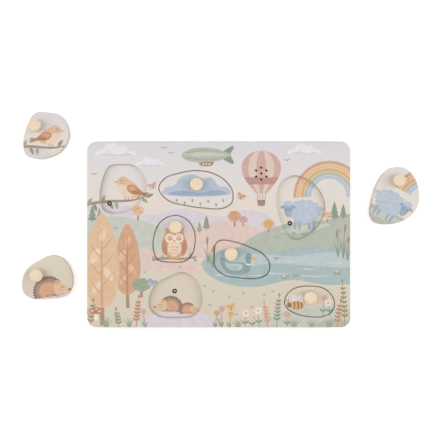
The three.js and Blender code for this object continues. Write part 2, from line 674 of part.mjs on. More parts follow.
// The cone's edge lies on the basket's rim inside the gasket, its middle is a dust cap
function cone() {
  const [edge, neck, cap] = [rimInside - JOIN_GAP, magnetRadius * 0.75, magnetRadius * 0.45];
  const low = basketTop - SPEAKER_DEPTH / 2;
  const under = [[0, low + CONE_THICKNESS], [cap, low], [neck, low], [edge, basketTop]];
  const over = under.map(([radius, height]) => [radius, height + CONE_THICKNESS]).reverse();
  return turned([...under, ...over], 2 * ROUND_STEPS);
}

place('speaker_gasket', gasket(), FOAM, speaker);
place('speaker_basket', basket(), STEEL, speaker);
place('speaker_cone', cone(), FILM, speaker);
const magnetSpan = [basketBottom - MAGNET_THICKNESS, basketBottom];
place('speaker_magnet', rod(MAGNET_DIAMETER, magnetSpan, [0, 0], 2 * ROUND_STEPS), FERRITE, speaker);

// Light sensors: a flange under the floor panel, a lip in the recess and a lens sunk in the lip
function lightSensor() {
  const [flange, body] = [SENSOR_FLANGE_DIAMETER / 2, SENSOR_DIAMETER / 2];
  const bore = body - SENSOR_LIP;
  const foot = bayTop - SENSOR_FLANGE_THICKNESS;
  const base = [[0, foot], [flange, foot], [flange, bayTop], [body, bayTop]];
  const lip = [[body, sensorFace], [bore, sensorFace], [bore, sensorFace - LENS_SINK]];
  const lens = [[bore * 0.6, sensorFace - LENS_SINK * 0.4], [0, sensorFace - LENS_SINK * 0.2]];
  return turned([...base, ...lip, ...lens]);
}
RECESSES.forEach(({ name }, i) => {
  place(`light_sensor_${name}`, lightSensor(), BLACK_PLASTIC).position.set(...sensorPlaces[i], 0);
});

// Puzzle pieces: each plate is its recess outline drawn in by the fit, as thick as the face panel
function piecePlate({ outline, knob }) {
  const plate = easedPlate(new THREE.Shape(pebble(outline, PIECE_GAP)), FACE_THICKNESS);
  const depth = grown([FACE_THICKNESS - TENON_LENGTH, FACE_THICKNESS], JOIN_GAP);
  const mortise = rod(TENON_DIAMETER, depth, knob, ROUND_STEPS);
  return cut(plate, [mortise]);
}

// Knob: a tenon glued into the plate, a shoulder on its face, a waist and a flat head with a round edge
function turnedKnob() {
  const [head, neck, tenon] = [KNOB_DIAMETER / 2, KNOB_NECK_DIAMETER / 2, TENON_DIAMETER / 2 - JOIN_GAP];
  const root = [[0, -TENON_LENGTH], [tenon, -TENON_LENGTH], [tenon, 0]];
  const waist = [[neck, 0], [neck * 0.95, KNOB_HEIGHT * 0.2], [head * 0.92, KNOB_HEIGHT * 0.46]];
  const crown = [[head, KNOB_HEIGHT * 0.65], [head, KNOB_HEIGHT * 0.84], [head * 0.95, KNOB_HEIGHT * 0.95],
    [head * 0.82, KNOB_HEIGHT], [0, KNOB_HEIGHT]];
  return turned([...root, ...waist, ...crown], KNOB_STEPS);
}

for (const recess of RECESSES) {
  const piece = new THREE.Group();
  const { laid } = recess;
  if (laid) {
    piece.position.set(laid.side * (BOARD_LENGTH / 2 + laid.away), laid.along, 0);
    piece.rotation.z = THREE.MathUtils.degToRad(laid.turn);
  } else {
    piece.position.set(...onBoard(recess.place), floorTop);
  }
  object.add(piece);
  place(`piece_${recess.name}`, piecePlate(recess), PRINTED_WOOD, piece);
  place(`knob_${recess.name}`, turnedKnob(), BEECH, piece).position.set(...recess.knob, FACE_THICKNESS);
}

export default object;
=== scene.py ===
# %% [markdown]
# # A wooden sound puzzle
#
# The real thing is a printed wooden board with seven pebble-shaped recesses and seven pieces with turned
# knobs. A light sensor in each recess floor sets off a sound when its piece goes in. The solids come from
# the CAD frame, already at their real size, so this lesson only dresses them: it draws the print, turns the
# knobs smooth and gives every surface its finish. Lengths here are millimetres until a mesh is made.

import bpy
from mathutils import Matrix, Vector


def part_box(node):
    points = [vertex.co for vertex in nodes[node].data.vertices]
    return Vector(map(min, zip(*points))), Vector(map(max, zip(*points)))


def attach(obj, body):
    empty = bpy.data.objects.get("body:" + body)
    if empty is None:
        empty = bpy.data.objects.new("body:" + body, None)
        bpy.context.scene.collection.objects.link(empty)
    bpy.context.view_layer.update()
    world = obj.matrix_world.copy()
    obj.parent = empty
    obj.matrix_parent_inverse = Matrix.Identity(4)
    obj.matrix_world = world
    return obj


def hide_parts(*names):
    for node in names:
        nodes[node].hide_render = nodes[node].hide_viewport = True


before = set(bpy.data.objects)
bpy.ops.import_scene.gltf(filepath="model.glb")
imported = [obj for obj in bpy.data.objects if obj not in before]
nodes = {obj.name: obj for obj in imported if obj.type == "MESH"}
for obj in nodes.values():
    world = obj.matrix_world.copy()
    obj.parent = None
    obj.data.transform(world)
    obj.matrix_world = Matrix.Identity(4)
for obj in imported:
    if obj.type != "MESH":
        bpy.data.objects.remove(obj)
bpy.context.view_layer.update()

import math
from collections import Counter

import bmesh
import bpy
import numpy as np
from mathutils import Matrix, Vector, geometry

MM = 0.001

# %% [markdown]
# ## Camera
#
# The photograph looks straight down on the table. A long lens from a good height would hide the sides of the
# loose pieces, but they show, so the camera stands less than a metre up. Its height, the point under it and
# its angle are real sizes worked out from the board's edges, which are 300 mm apart.

# %% Camera
CAMERA_HEIGHT = 850   # mm over the table
CAMERA_OVER = (1.5, 16.4)   # mm from the board's middle
CAMERA_ANGLE = 33.78  # degrees from side to side


def add_object(name, data):
    """A new object for a mesh, lamp or camera, in the scene."""
    made = bpy.data.objects.new(name, data)
    bpy.context.scene.collection.objects.link(made)
    return made


camera_data = bpy.data.cameras.new("camera")
camera_data.sensor_fit = "HORIZONTAL"
camera_data.angle = math.radians(CAMERA_ANGLE)
camera = add_object("camera", camera_data)
camera.location = Vector((*CAMERA_OVER, CAMERA_HEIGHT)) * MM
bpy.context.scene.camera = camera
bpy.context.scene.view_settings.view_transform = "Standard"
print("camera", CAMERA_HEIGHT, "mm up, lens", round(camera_data.lens, 1))

# %% [markdown]
# ## Colours and nodes
#
# Colours are written as the hex values a picture editor shows, and Blender's shaders want them linear, so one
# function turns them. Another adds a shader node: its keywords are the node's settings, and its inputs are
# plain values, which go straight on the node's sockets, or another node's output, which is linked. The same
# way of feeding a node sets the main shader at the end of each material.

# %% Helpers for materials
def linear(hex_colour):
    """A hex colour as linear red, green, blue and alpha."""
    shares = [int(hex_colour[i:i + 2], 16) / 255 for i in (0, 2, 4)]
    return [s / 12.92 if s <= 0.04045 else ((s + 0.055) / 1.055) ** 2.4 for s in shares] + [1]


def feed(tree, node, inputs):
    """Give a node's inputs their values, or link them to another node's output."""
    for name, value in inputs.items():
        if isinstance(value, bpy.types.NodeSocket):
            tree.links.new(value, node.inputs[name])
        else:
            node.inputs[name].default_value = value


def add_node(tree, kind, inputs=None, stops=None, **settings):
    """One shader node with its settings, its inputs as values or links, and the stops of a colour ramp."""
    made = tree.nodes.new(kind)
    for name, value in settings.items():
        setattr(made, name, value)
    feed(tree, made, inputs or {})
    for i, (place, colour) in enumerate(stops or []):
        ends = made.color_ramp.elements
        stop = ends[i] if i < len(ends) else ends.new(place)
        stop.position = place
        stop.color = linear(colour)
    return made


def start_material(name):
    """A new material, its node tree and its main shader."""
    made = bpy.data.materials.new(name)
    made.use_nodes = True
    return made, made.node_tree, made.node_tree.nodes["Principled BSDF"]


print("mid grey is", round(linear("808080")[0], 3), "in linear light")

# %% [markdown]
# ## Table and light
#
# The photograph's ground is plain white and its shadows are soft. Most light falls from above, and two wide
# lamps stand left and right of the table, so a knob near the right throws its shadow to the left and one near
# the left to the right. The table is white to the camera and keeps a faint shadow. Other light passes through
# it from a bright lower sky: that stands for the light a white table throws back on the sides of things, and
# it lights the back of the board for a look from below.

# %% White table paint
TABLE_GLOW = 0.3      # near the board, low enough to leave its shadow
GLOW_NEAR = 350       # mm from the middle: from here on the glow makes up for the lamps' falling light
GLOW_FAR = 900        # mm from the middle: from here on it is all glow


def background_rays(tree):
    """An output that is 1 where the camera sees the background, straight, in a shine or through glass."""
    path = add_node(tree, "ShaderNodeLightPath")
    shows = path.outputs["Is Camera Ray"]
    for ray in ("Is Glossy Ray", "Is Transmission Ray"):
        either = add_node(tree, "ShaderNodeMath", {0: shows, 1: path.outputs[ray]}, operation="MAXIMUM")
        shows = either.outputs[0]
    return shows


# White painted board: matt, and clear to the light from below and to whoever looks up from there.
table_material, tree, shader = start_material("white_table")
tree.nodes.remove(shader)
side = add_node(tree, "ShaderNodeNewGeometry")
shows = add_node(tree, "ShaderNodeMath", {0: background_rays(tree), 1: side.outputs["Backfacing"]},
                 operation="SUBTRACT", use_clamp=True)
clear = add_node(tree, "ShaderNodeBsdfTransparent")
paint = add_node(tree, "ShaderNodeBsdfDiffuse", {"Color": linear("f4f4f4")})
where = add_node(tree, "ShaderNodeTexCoord")
away = add_node(tree, "ShaderNodeVectorMath", {0: where.outputs["Object"]}, operation="LENGTH")
level = add_node(tree, "ShaderNodeMapRange", {
    "Value": away.outputs["Value"], "From Min": GLOW_NEAR * MM, "From Max": GLOW_FAR * MM,
    "To Min": TABLE_GLOW, "To Max": 1})
glow = add_node(tree, "ShaderNodeEmission", {"Color": linear("ffffff"), "Strength": level.outputs[0]})
white = add_node(tree, "ShaderNodeAddShader", {0: paint.outputs[0], 1: glow.outputs[0]})
mixed = add_node(tree, "ShaderNodeMixShader", {0: shows.outputs[0], 1: clear.outputs[0], 2: white.outputs[0]})
feed(tree, tree.nodes["Material Output"], {"Surface": mixed.outputs[0]})
print("made", table_material.name)

# %% Table
TABLE_REACH = 4000    # mm from the middle to each side
TABLE_DROP = 0.05     # mm under the undersides, so that the two don't share a plane

table_mesh = bpy.data.meshes.new("table")
signs = ((-1, -1), (1, -1), (1, 1), (-1, 1))
corners = [Vector((x * TABLE_REACH, y * TABLE_REACH, -TABLE_DROP)) * MM for x, y in signs]
table_mesh.from_pydata(corners, [], [(0, 1, 2, 3)])
table_mesh.materials.append(table_material)
table = add_object("table", table_mesh)
print("table", 2 * TABLE_REACH * MM, "m square")

# %% Lamps
LAMPS = {  # place and size in mm, and watts
    "left_lamp": ((-760, 30, 900), (550, 850), 3.9),
    "right_lamp": ((760, 30, 900), (550, 850), 3.9),
    "ceiling_lamp": ((0, 0, 1500), (1200, 1200), 6.4),
}

for name, (at, size, watts) in LAMPS.items():
    lamp_data = bpy.data.lights.new(name, "AREA")
    lamp_data.shape = "RECTANGLE"
    lamp_data.size, lamp_data.size_y = (length * MM for length in size)
    lamp_data.energy = watts
    lamp = add_object(name, lamp_data)
    lamp.location = Vector(at) * MM
    lamp.rotation_euler = (-lamp.location).to_track_quat("-Z", "Y").to_euler()
print("lamps", ", ".join(LAMPS))

# %% Sky
UPPER_SKY = 0.31
LOWER_SKY = 0.8
HORIZON = 0.1         # the two blend this far up and down

sky = bpy.data.worlds.new("sky")
sky.use_nodes = True
tree = sky.node_tree
towards = add_node(tree, "ShaderNodeTexCoord")
rise = add_node(tree, "ShaderNodeSeparateXYZ", {0: towards.outputs["Generated"]})
light = add_node(tree, "ShaderNodeMapRange", {
    "Value": rise.outputs["Z"], "From Min": -HORIZON, "From Max": HORIZON,
    "To Min": LOWER_SKY, "To Max": UPPER_SKY})
strength = add_node(tree, "ShaderNodeMapRange", {
    "Value": background_rays(tree), "To Min": light.outputs[0], "To Max": 1})
feed(tree, tree.nodes["Background"], {"Color": linear("ffffff"), "Strength": strength.outputs[0]})
bpy.context.scene.world = sky
print("sky", UPPER_SKY, "above and", LOWER_SKY, "below")

# %% [markdown]
# ## The print
#
# On the real board a picture is printed on the wood's white ground coat and sealed with satin lacquer. It
# looks like watercolour: colours wander a little, and the ground runs from a cool grey at the top to sand at
# the bottom. The drawn shapes come later as a colour attribute called ink, whose alpha is 0 where the bare
# ground shows. A UV map called sheet gives each point its place on the printed sheet, so the pattern runs on
# from the board to its pieces even where a piece lies elsewhere.

# %% Watercolour
SHEET_TOP = 106       # mm from the sheet's middle to its upper edge
BLOOM_SIZE = 34       # mm across one watery patch
BLOOM_REACH = 0.16    # how far the ground's colours wander, as a share of the sheet's height
PIGMENT_SIZE = 7      # mm across one lighter or darker patch

# Print under satin lacquer: flat colour with a soft, broad shine and a hint of paper tooth.
satin_print, tree, shader = start_material("satin_print")
sheet = add_node(tree, "ShaderNodeUVMap", uv_map="sheet")
bloom = add_node(tree, "ShaderNodeTexNoise", {
    "Vector": sheet.outputs[0], "Scale": 1 / (BLOOM_SIZE * MM), "Detail": 4})
place = add_node(tree, "ShaderNodeSeparateXYZ", {0: sheet.outputs[0]})
height = add_node(tree, "ShaderNodeMapRange", {
    "Value": place.outputs["Y"], "From Min": -SHEET_TOP * MM, "From Max": SHEET_TOP * MM})
wander = add_node(tree, "ShaderNodeMath", {0: bloom.outputs["Fac"], 1: BLOOM_REACH, 2: height.outputs[0]},
                  operation="MULTIPLY_ADD")
wander = add_node(tree, "ShaderNodeMath", {0: wander.outputs[0], 1: BLOOM_REACH / 2}, operation="SUBTRACT")
ground = add_node(tree, "ShaderNodeValToRGB", {"Fac": wander.outputs[0]}, stops=[
    (0, "d4c8b4"), (0.2, "d5cab6"), (0.45, "dcd2c5"), (0.66, "e1d6cc"), (0.85, "ddd7d6"), (1, "d8d5da")])
ink = add_node(tree, "ShaderNodeAttribute", attribute_name="ink", attribute_type="GEOMETRY")
drawn = add_node(tree, "ShaderNodeMix", {
    0: ink.outputs["Alpha"], 6: ground.outputs["Color"], 7: ink.outputs["Color"]}, data_type="RGBA")
pigment = add_node(tree, "ShaderNodeTexNoise", {
    "Vector": sheet.outputs[0], "Scale": 1 / (PIGMENT_SIZE * MM), "Detail": 6, "Roughness": 0.62})
depth = add_node(tree, "ShaderNodeValToRGB", {"Fac": pigment.outputs["Fac"]}, stops=[
    (0.28, "efeeec"), (0.72, "ffffff")])
washed = add_node(tree, "ShaderNodeMix", {
    0: ink.outputs["Alpha"], 6: drawn.outputs[2], 7: depth.outputs["Color"]},
    data_type="RGBA", blend_type="MULTIPLY")
print("watery patches", BLOOM_SIZE, "mm across")

# %% Satin lacquer
TOOTH_SIZE = 0.9      # mm: paper tooth is near 0.2, drawn coarser so that it shows
TOOTH_DEPTH = 0.05    # mm
LACQUER_IOR = 1.5     # of an acrylic lacquer

tooth = add_node(tree, "ShaderNodeTexNoise", {
    "Vector": sheet.outputs[0], "Scale": 1 / (TOOTH_SIZE * MM), "Detail": 2})
rough = add_node(tree, "ShaderNodeMapRange", {"Value": tooth.outputs["Fac"], "To Min": 0.44, "To Max": 0.56})
relief = add_node(tree, "ShaderNodeBump", {
    "Height": tooth.outputs["Fac"], "Strength": 0.08, "Distance": TOOTH_DEPTH * MM})
feed(tree, shader, {"Base Color": washed.outputs[2], "Roughness": rough.outputs[0], "IOR": LACQUER_IOR,
                    "Normal": relief.outputs[0]})
print("made", satin_print.name)

# %% [markdown]
# ## The woods
#
# The panels are poplar plywood, so their sawn edges show thin plies, light and dark in turn. Their faces were
# peeled off a turning log, which leaves broad wavy streaks where the knife ran through the growth rings: a
# strongly distorted wave. The rails are solid basswood with fine straight grain. The knobs are turned beech
# with their grain along the axis: growth rings and thirsty, slightly darker end grain on top, paler wood with
# short flecks on the round edge and the sides. That paler tone is partly the side grain and partly a painted
# highlight round the head's edge.

# %% Poplar plies
PLY = 1.6             # mm, one veneer
WAVE = math.pi / 10   # the distance between a wave texture's bands at scale 1

# Sawn and sanded poplar ply: pale and dull, striped at its edges, with fine grain and figure on its faces.
poplar_ply, tree, shader = start_material("poplar_ply")
inside = add_node(tree, "ShaderNodeTexCoord")
layers = add_node(tree, "ShaderNodeTexWave", {
    "Vector": inside.outputs["Object"], "Scale": WAVE / (2 * PLY * MM),
    "Distortion": 0.5, "Detail": 2, "Detail Scale": 3}, bands_direction="Z", wave_profile="SIN")
veneer = add_node(tree, "ShaderNodeValToRGB", {"Fac": layers.outputs["Fac"]}, stops=[
    (0.2, "d2c9ba"), (0.42, "e6dfd4"), (0.8, "efeae1")])
print("plies", PLY, "mm thick")

# %% Poplar grain and figure
GRAIN_SPACING = 0.8   # mm between grain lines, drawn twice as wide as they are so that they show
GRAIN_DEPTH = 0.1     # mm
FIGURE_SPACING = 13   # mm between the broad streaks where a ring was peeled through
WOOD_IOR = 1.53       # of cellulose

stretch = add_node(tree, "ShaderNodeMapping", {"Vector": inside.outputs["Object"], "Scale": (0.06, 1, 1)})
grain = add_node(tree, "ShaderNodeTexNoise", {
    "Vector": stretch.outputs[0], "Scale": 1 / (GRAIN_SPACING * MM), "Detail": 5})
fibre = add_node(tree, "ShaderNodeValToRGB", {"Fac": grain.outputs["Fac"]}, stops=[
    (0.3, "eee9e1"), (0.65, "ffffff")])
sweep = add_node(tree, "ShaderNodeMapping", {"Vector": inside.outputs["Object"], "Scale": (0.3, 1, 1)})
figure = add_node(tree, "ShaderNodeTexWave", {
    "Vector": sweep.outputs[0], "Scale": WAVE / (FIGURE_SPACING * MM),
    "Distortion": 22, "Detail": 1.5, "Detail Scale": 0.9}, bands_direction="Y", wave_profile="SIN")
streak = add_node(tree, "ShaderNodeValToRGB", {"Fac": figure.outputs["Fac"]}, stops=[
    (0.05, "f6eee2"), (0.8, "ffffff")])
toned = veneer.outputs["Color"]
for veil in (fibre, streak):
    mixed = add_node(tree, "ShaderNodeMix", {0: 1.0, 6: toned, 7: veil.outputs["Color"]},
                     data_type="RGBA", blend_type="MULTIPLY")
    toned = mixed.outputs[2]
relief = add_node(tree, "ShaderNodeBump", {
    "Height": grain.outputs["Fac"], "Strength": 0.2, "Distance": GRAIN_DEPTH * MM})
feed(tree, shader, {"Base Color": toned, "Roughness": 0.62, "IOR": WOOD_IOR, "Normal": relief.outputs[0]})
print("made", poplar_ply.name)

# %% Basswood
# Planed basswood: pale straw with long straight streaks and hardly any shine.
basswood, tree, shader = start_material("basswood")
inside = add_node(tree, "ShaderNodeTexCoord")
stretch = add_node(tree, "ShaderNodeMapping", {"Vector": inside.outputs["Object"], "Scale": (0.05, 0.05, 1)})
grain = add_node(tree, "ShaderNodeTexNoise", {
    "Vector": stretch.outputs[0], "Scale": 1 / (GRAIN_SPACING * MM), "Detail": 6, "Roughness": 0.6})
tone = add_node(tree, "ShaderNodeValToRGB", {"Fac": grain.outputs["Fac"]}, stops=[
    (0.3, "c9b189"), (0.5, "dcc8a4"), (0.7, "e6d6b8")])
relief = add_node(tree, "ShaderNodeBump", {
    "Height": grain.outputs["Fac"], "Strength": 0.25, "Distance": GRAIN_DEPTH * MM})
feed(tree, shader, {"Base Color": tone.outputs["Color"], "Roughness": 0.64, "IOR": WOOD_IOR,
                    "Normal": relief.outputs[0]})
print("made", basswood.name)

# %% Turned beech
RING_SPACING = 2.5    # mm between growth rings
RING_DEPTH = 0.05     # mm
PITH = (4.2, 2.1)     # mm from the rings' middle to the knob's
FLECK_LENGTH = 2.4    # mm

# Turned and sanded beech: warm and smooth, with rings on top, flecks round the sides and a low shine.
turned_beech, tree, shader = start_material("turned_beech")
inside = add_node(tree, "ShaderNodeTexCoord")
pith = add_node(tree, "ShaderNodeMapping", {
    "Vector": inside.outputs["Object"], "Location": Vector((*PITH, 0)) * MM})
rings = add_node(tree, "ShaderNodeTexWave", {
    "Vector": pith.outputs[0], "Scale": WAVE / (RING_SPACING * MM),
    "Distortion": 1.6, "Detail": 2, "Detail Scale": 1.5}, wave_type="RINGS", rings_direction="Z")
end_grain = add_node(tree, "ShaderNodeValToRGB", {"Fac": rings.outputs["Fac"]}, stops=[
    (0.1, "ead1b0"), (0.45, "edd6b9"), (0.9, "efdabf")])
# Faces that point sideways get the paler colour: partly side grain, partly a painted highlight round the
# head's edge.
facing = add_node(tree, "ShaderNodeSeparateXYZ", {0: inside.outputs["Normal"]})
side_grain_and_rim_highlight = add_node(tree, "ShaderNodeMapRange", {
    "Value": facing.outputs["Z"], "From Min": 0.99, "From Max": 0.8})
wood = add_node(tree, "ShaderNodeMix", {
    0: side_grain_and_rim_highlight.outputs[0], 6: end_grain.outputs["Color"], 7: linear("f2e0c5")}, data_type="RGBA")
along = add_node(tree, "ShaderNodeMapping", {"Vector": inside.outputs["Object"], "Scale": (5, 5, 1)})
flecks = add_node(tree, "ShaderNodeTexNoise", {
    "Vector": along.outputs[0], "Scale": 1 / (FLECK_LENGTH * MM), "Detail": 3})
fleck = add_node(tree, "ShaderNodeValToRGB", {"Fac": flecks.outputs["Fac"]}, stops=[
    (0.3, "ece0cf"), (0.42, "ffffff")])
toned = add_node(tree, "ShaderNodeMix", {0: 1.0, 6: wood.outputs[2], 7: fleck.outputs["Color"]},
                 data_type="RGBA", blend_type="MULTIPLY")
relief = add_node(tree, "ShaderNodeBump", {
    "Height": rings.outputs["Fac"], "Strength": 0.1, "Distance": RING_DEPTH * MM})
feed(tree, shader, {"Base Color": toned.outputs[2], "Roughness": 0.5, "IOR": WOOD_IOR,
                    "Normal": relief.outputs[0]})
print("made", turned_beech.name)

# %% [markdown]
# ## Plastics, metals and the rest
#
# The battery housing, its door and the sensors are injection-moulded ABS with a fine spark-eroded grain. The
# screws are zinc-plated steel. What sits inside, such as the speaker and the circuit board, hardly shows, but
# each still gets the finish it has on the bench. They differ in two colours, a pattern size and a few shader
# settings, so one function makes them all from a list.

# %% Facts of each finish
FINISHES = {
    # name: dark colour, light colour, pattern size in mm, roughness, metallic, IOR, bump strength
    # ABS from a spark-eroded mould: black with a dull, finely pitted skin.
    "moulded_abs": ("171615", "201f1e", 0.35, 0.46, 0, 1.54, 0.22),
    # Acetal from a plain mould: milky and a little slick.
    "acetal": ("dcd7cc", "e8e4da", 0.5, 0.42, 0, 1.48, 0.06),
    # Zinc plate on steel: bright grey with a faint cloud in its shine. A metal keeps the usual IOR.
    "zinc_plate": ("a9abae", "c4c6c8", 0.6, 0.32, 1, 1.5, 0.06),
    # Ferrite, pressed and fired: charcoal, chalky and slightly rough.
    "sintered_ferrite": ("2c2c2e", "3c3c3f", 0.8, 0.6, 0, 1.7, 0.2),
    # Polyurethane sponge: black open cells that swallow light.
    "sponge_foam": ("1f1f21", "343437", 0.7, 0.95, 0, 1.5, 0.7),
    # Paper pulp pressed into a cone: dull black with short fibres.
    "pressed_paper": ("1a1918", "2b2927", 0.6, 0.8, 0, 1.5, 0.3),
    # Solder mask flowed over copper: green gloss, uneven where tracks lie under it.
    "solder_mask": ("25573a", "337550", 3.0, 0.35, 0, 1.55, 0.08),
    # Epoxy dripped over the chip: a glossy black drop.
    "epoxy_blob": ("121212", "1d1d1d", 2.0, 0.28, 0, 1.55, 0.05),
    # Metallised film shrunk round a cell: soft silver gloss.
    "cell_jacket": ("8f979f", "a9b1b8", 9.0, 0.3, 0.6, 1.57, 0.03),
    # The same film printed dark: a plain ring in the silver.
    "cell_mark": ("37444f", "42505c", 9.0, 0.32, 0.2, 1.57, 0.03),
    # Clear epoxy cast round a light sensor: a wet-looking bead. Its pale colour is partly its own and partly
    # a painted highlight of the dome.
    "pale_epoxy_and_painted_glint": ("d2d3cf", "e9eae5", 0.8, 0.14, 0, 1.55, 0.02),
}
print(len(FINISHES), "finishes listed")

# %% Moulded, plated and pressed finishes
GRIT_DEPTH = 0.1      # mm, at full bump strength


def moulded_finish(name, dark, light, size, roughness, metallic, ior, bump):
    """A finish with a fine even grain between two close colours."""
    made, tree, shader = start_material(name)
    inside = add_node(tree, "ShaderNodeTexCoord")
    grit = add_node(tree, "ShaderNodeTexNoise", {
        "Vector": inside.outputs["Object"], "Scale": 1 / (size * MM), "Detail": 4})
    tone = add_node(tree, "ShaderNodeValToRGB", {"Fac": grit.outputs["Fac"]}, stops=[
        (0.35, dark), (0.65, light)])
    relief = add_node(tree, "ShaderNodeBump", {
        "Height": grit.outputs["Fac"], "Strength": bump, "Distance": GRIT_DEPTH * MM})
    feed(tree, shader, {"Base Color": tone.outputs["Color"], "Roughness": roughness, "Metallic": metallic,
                        "IOR": ior, "Normal": relief.outputs[0]})
    return made


finishes = {name: moulded_finish(name, *facts) for name, facts in FINISHES.items()}
print("made", ", ".join(finishes))

# %% [markdown]
# ## Lines for drawing
#
# A picture in this style is flat shapes laid over each other. A few kinds of outline draw it all: a smooth
# closed line through a few points, an oval, a leaf, a brush stroke and an oval with a bumpy edge. Each is a
# list of points in millimetres on the sheet, whose middle is the middle of the board.

# %% Curves
def closed_curve(points, steps=5):
    """A smooth closed line through a few points, with so many steps from each to the next."""
    here = np.array(points, float)[:, None, :]
    last, ahead, beyond = (np.roll(here, by, 0) for by in (1, -1, -2))
    t = np.linspace(0, 1, steps, endpoint=False)[None, :, None]
    curve = 2 * here + (ahead - last) * t + (2 * last - 5 * here + 4 * ahead - beyond) * t**2
    curve = curve + (3 * here - last - 3 * ahead + beyond) * t**3
    return (curve / 2).reshape(-1, 2)


def open_curve(points, steps=5):
    """The same through points that don't close: a point past each end leads it in and out."""
    first = 2 * np.array(points[0]) - points[1]
    final = 2 * np.array(points[-1]) - points[-2]
    return closed_curve([first, *points, final], steps)[steps:steps * len(points) + 1]


def turned(points, degrees):
    """Points turned about the origin."""
    c, s = math.cos(math.radians(degrees)), math.sin(math.radians(degrees))
    return np.array(points, float) @ np.array([[c, s], [-s, c]])


def set_down(shapes, at, size=1, turn=0, mirror=False):
    """A motif placed on the sheet."""
    flip = np.array([-1 if mirror else 1, 1])
    return [(ink, turned(outline * flip * size, turn) + at) for ink, outline in shapes]


print("a curve through 4 points has", len(closed_curve([(0, 0), (1, 0), (1, 1), (0, 1)])), "points")

# %% Ovals and leaves
def oval(x, y, wide, high, turn=0, points=20):
    """An oval with its middle at x, y."""
    angles = np.linspace(0, 2 * math.pi, points, endpoint=False)
    edge = np.column_stack([wide / 2 * np.cos(angles), high / 2 * np.sin(angles)])
    return turned(edge, turn) + (x, y)


def leaf(x, y, length, width, turn):
    """A leaf with its stalk end at x, y."""
    t = np.linspace(0, 1, 7)
    half = width / 2 * np.sin(math.pi * t**0.8)
    upper = np.column_stack([length * t, half])
    lower = np.column_stack([length * t, -half])[-2:0:-1]
    return turned(np.vstack([upper, lower]), turn) + (x, y)


print("a leaf has", len(leaf(0, 0, 6, 2, 0)), "points")

# %% Strokes and bumpy edges
def brush(points, width, tip=0.3, steps=4):
    """A brush stroke along a few points, full at its start and drawn out to its tip."""
    line = open_curve(points, steps)
    along = np.gradient(line, axis=0)
    along /= np.linalg.norm(along, axis=1)[:, None]
    t = np.linspace(0, 1, len(line))
    half = width / 2 * (tip + (1 - tip) * np.cos(math.pi / 2 * t**1.5))
    side = np.column_stack([-along[:, 1], along[:, 0]]) * half[:, None]
    return np.vstack([line + side, (line - side)[::-1]])


def scallop(x, y, wide, high, bumps, depth):
    """An oval with a bumpy edge, as wool and leafy crowns have it."""
    angles = np.linspace(0, 2 * math.pi, bumps * 6, endpoint=False)
    swell = 1 + depth * np.abs(np.sin(angles * bumps / 2))
    return np.column_stack([x + wide / 2 * swell * np.cos(angles), y + high / 2 * swell * np.sin(angles)])


def smile(x, y, wide, sag, width=0.8):
    """A short curved stroke: a closed eye or the tip of a feather."""
    return brush([(x - wide / 2, y), (x, y - sag), (x + wide / 2, y)], width, 0.6)


print("a short stroke has", len(smile(0, 0, 4, 1)), "points")

# %% [markdown]
# ## Motifs
#
# The picture is a generic countryside in the soft colours of such toys: hills, a pond, garden birds and farm
# and woodland animals. Every motif is a function that draws round its own origin, so the same one can be set
# down again at another size, turn or mirrored. Inks are named, and shapes come in painting order.

# %% Inks
INK = {
    "cloud": "ece8ec", "cloud_shade": "d9d6de", "cream": "efe6da", "line": "6d6056", "lilac": "dcd3da",
    "sage": "b6bcad", "sage_pale": "c8ccbf", "sage_deep": "9ba690", "fern": "869a85", "olive": "8d8f61",
    "rose": "d2aba1", "rose_pale": "e2cabf", "rose_deep": "c08f84", "mustard": "dfae66",
    "peach": "e2bd99", "peach_pale": "ecd2b9", "peach_deep": "d5a380", "terracotta": "c18462",
    "sky": "bac5d3", "sky_pale": "ccd4dd", "sky_deep": "98aac1",
    "teal": "a9bbbc", "teal_pale": "bdcaca", "teal_deep": "88a0a4", "bark": "a98a75", "bark_deep": "85695a",
}
ink_colour = {name: linear(colour) for name, colour in INK.items()}
print(len(INK), "inks")

# %% Clouds, birds and a rainbow
def cloud(wide, ink="cloud", shade="cloud_shade"):
    """A flat-bottomed cloud with a shaded underside."""
    edge = [(-1, 0), (-0.92, 0.2), (-0.66, 0.26), (-0.48, 0.5), (-0.12, 0.6), (0.2, 0.46), (0.44, 0.5),
            (0.66, 0.26), (0.92, 0.2), (1, 0), (0.5, -0.07), (-0.5, -0.07)]
    under = [(-0.86, 0.02), (-0.4, 0.1), (0.1, 0.04), (0.6, 0.12), (0.9, 0.02), (0.4, -0.05), (-0.4, -0.05)]
    half = wide / 2
    return [(ink, closed_curve(edge) * half), (shade, closed_curve(under) * half)]


def rainbow(radius, width=4.2, gap=0.6):
    """Five bands with a thin gap between them."""
    angles = np.linspace(-0.05, math.pi + 0.05, 25)
    arch = np.column_stack([np.cos(angles), np.sin(angles)])
    shapes = []
    for i, ink in enumerate(["peach_deep", "peach", "mustard", "sage", "sky"]):
        outer = radius - i * width
        shapes.append((ink, np.vstack([arch * outer, (arch * (outer - width + gap))[::-1]])))
    return shapes


def far_birds(places):
    """Birds far away: two short strokes each."""
    shapes = []
    for x, y in places:
        for side in (-1, 1):
            wing = [(x, y), (x + side * 2, y + 1.5), (x + side * 4.2, y + 1)]
            shapes.append(("bark", brush(wing, 0.8, 0.4, 3)))
    return shapes


print("cloud of", len(cloud(40)), "and rainbow of", len(rainbow(40)), "shapes")

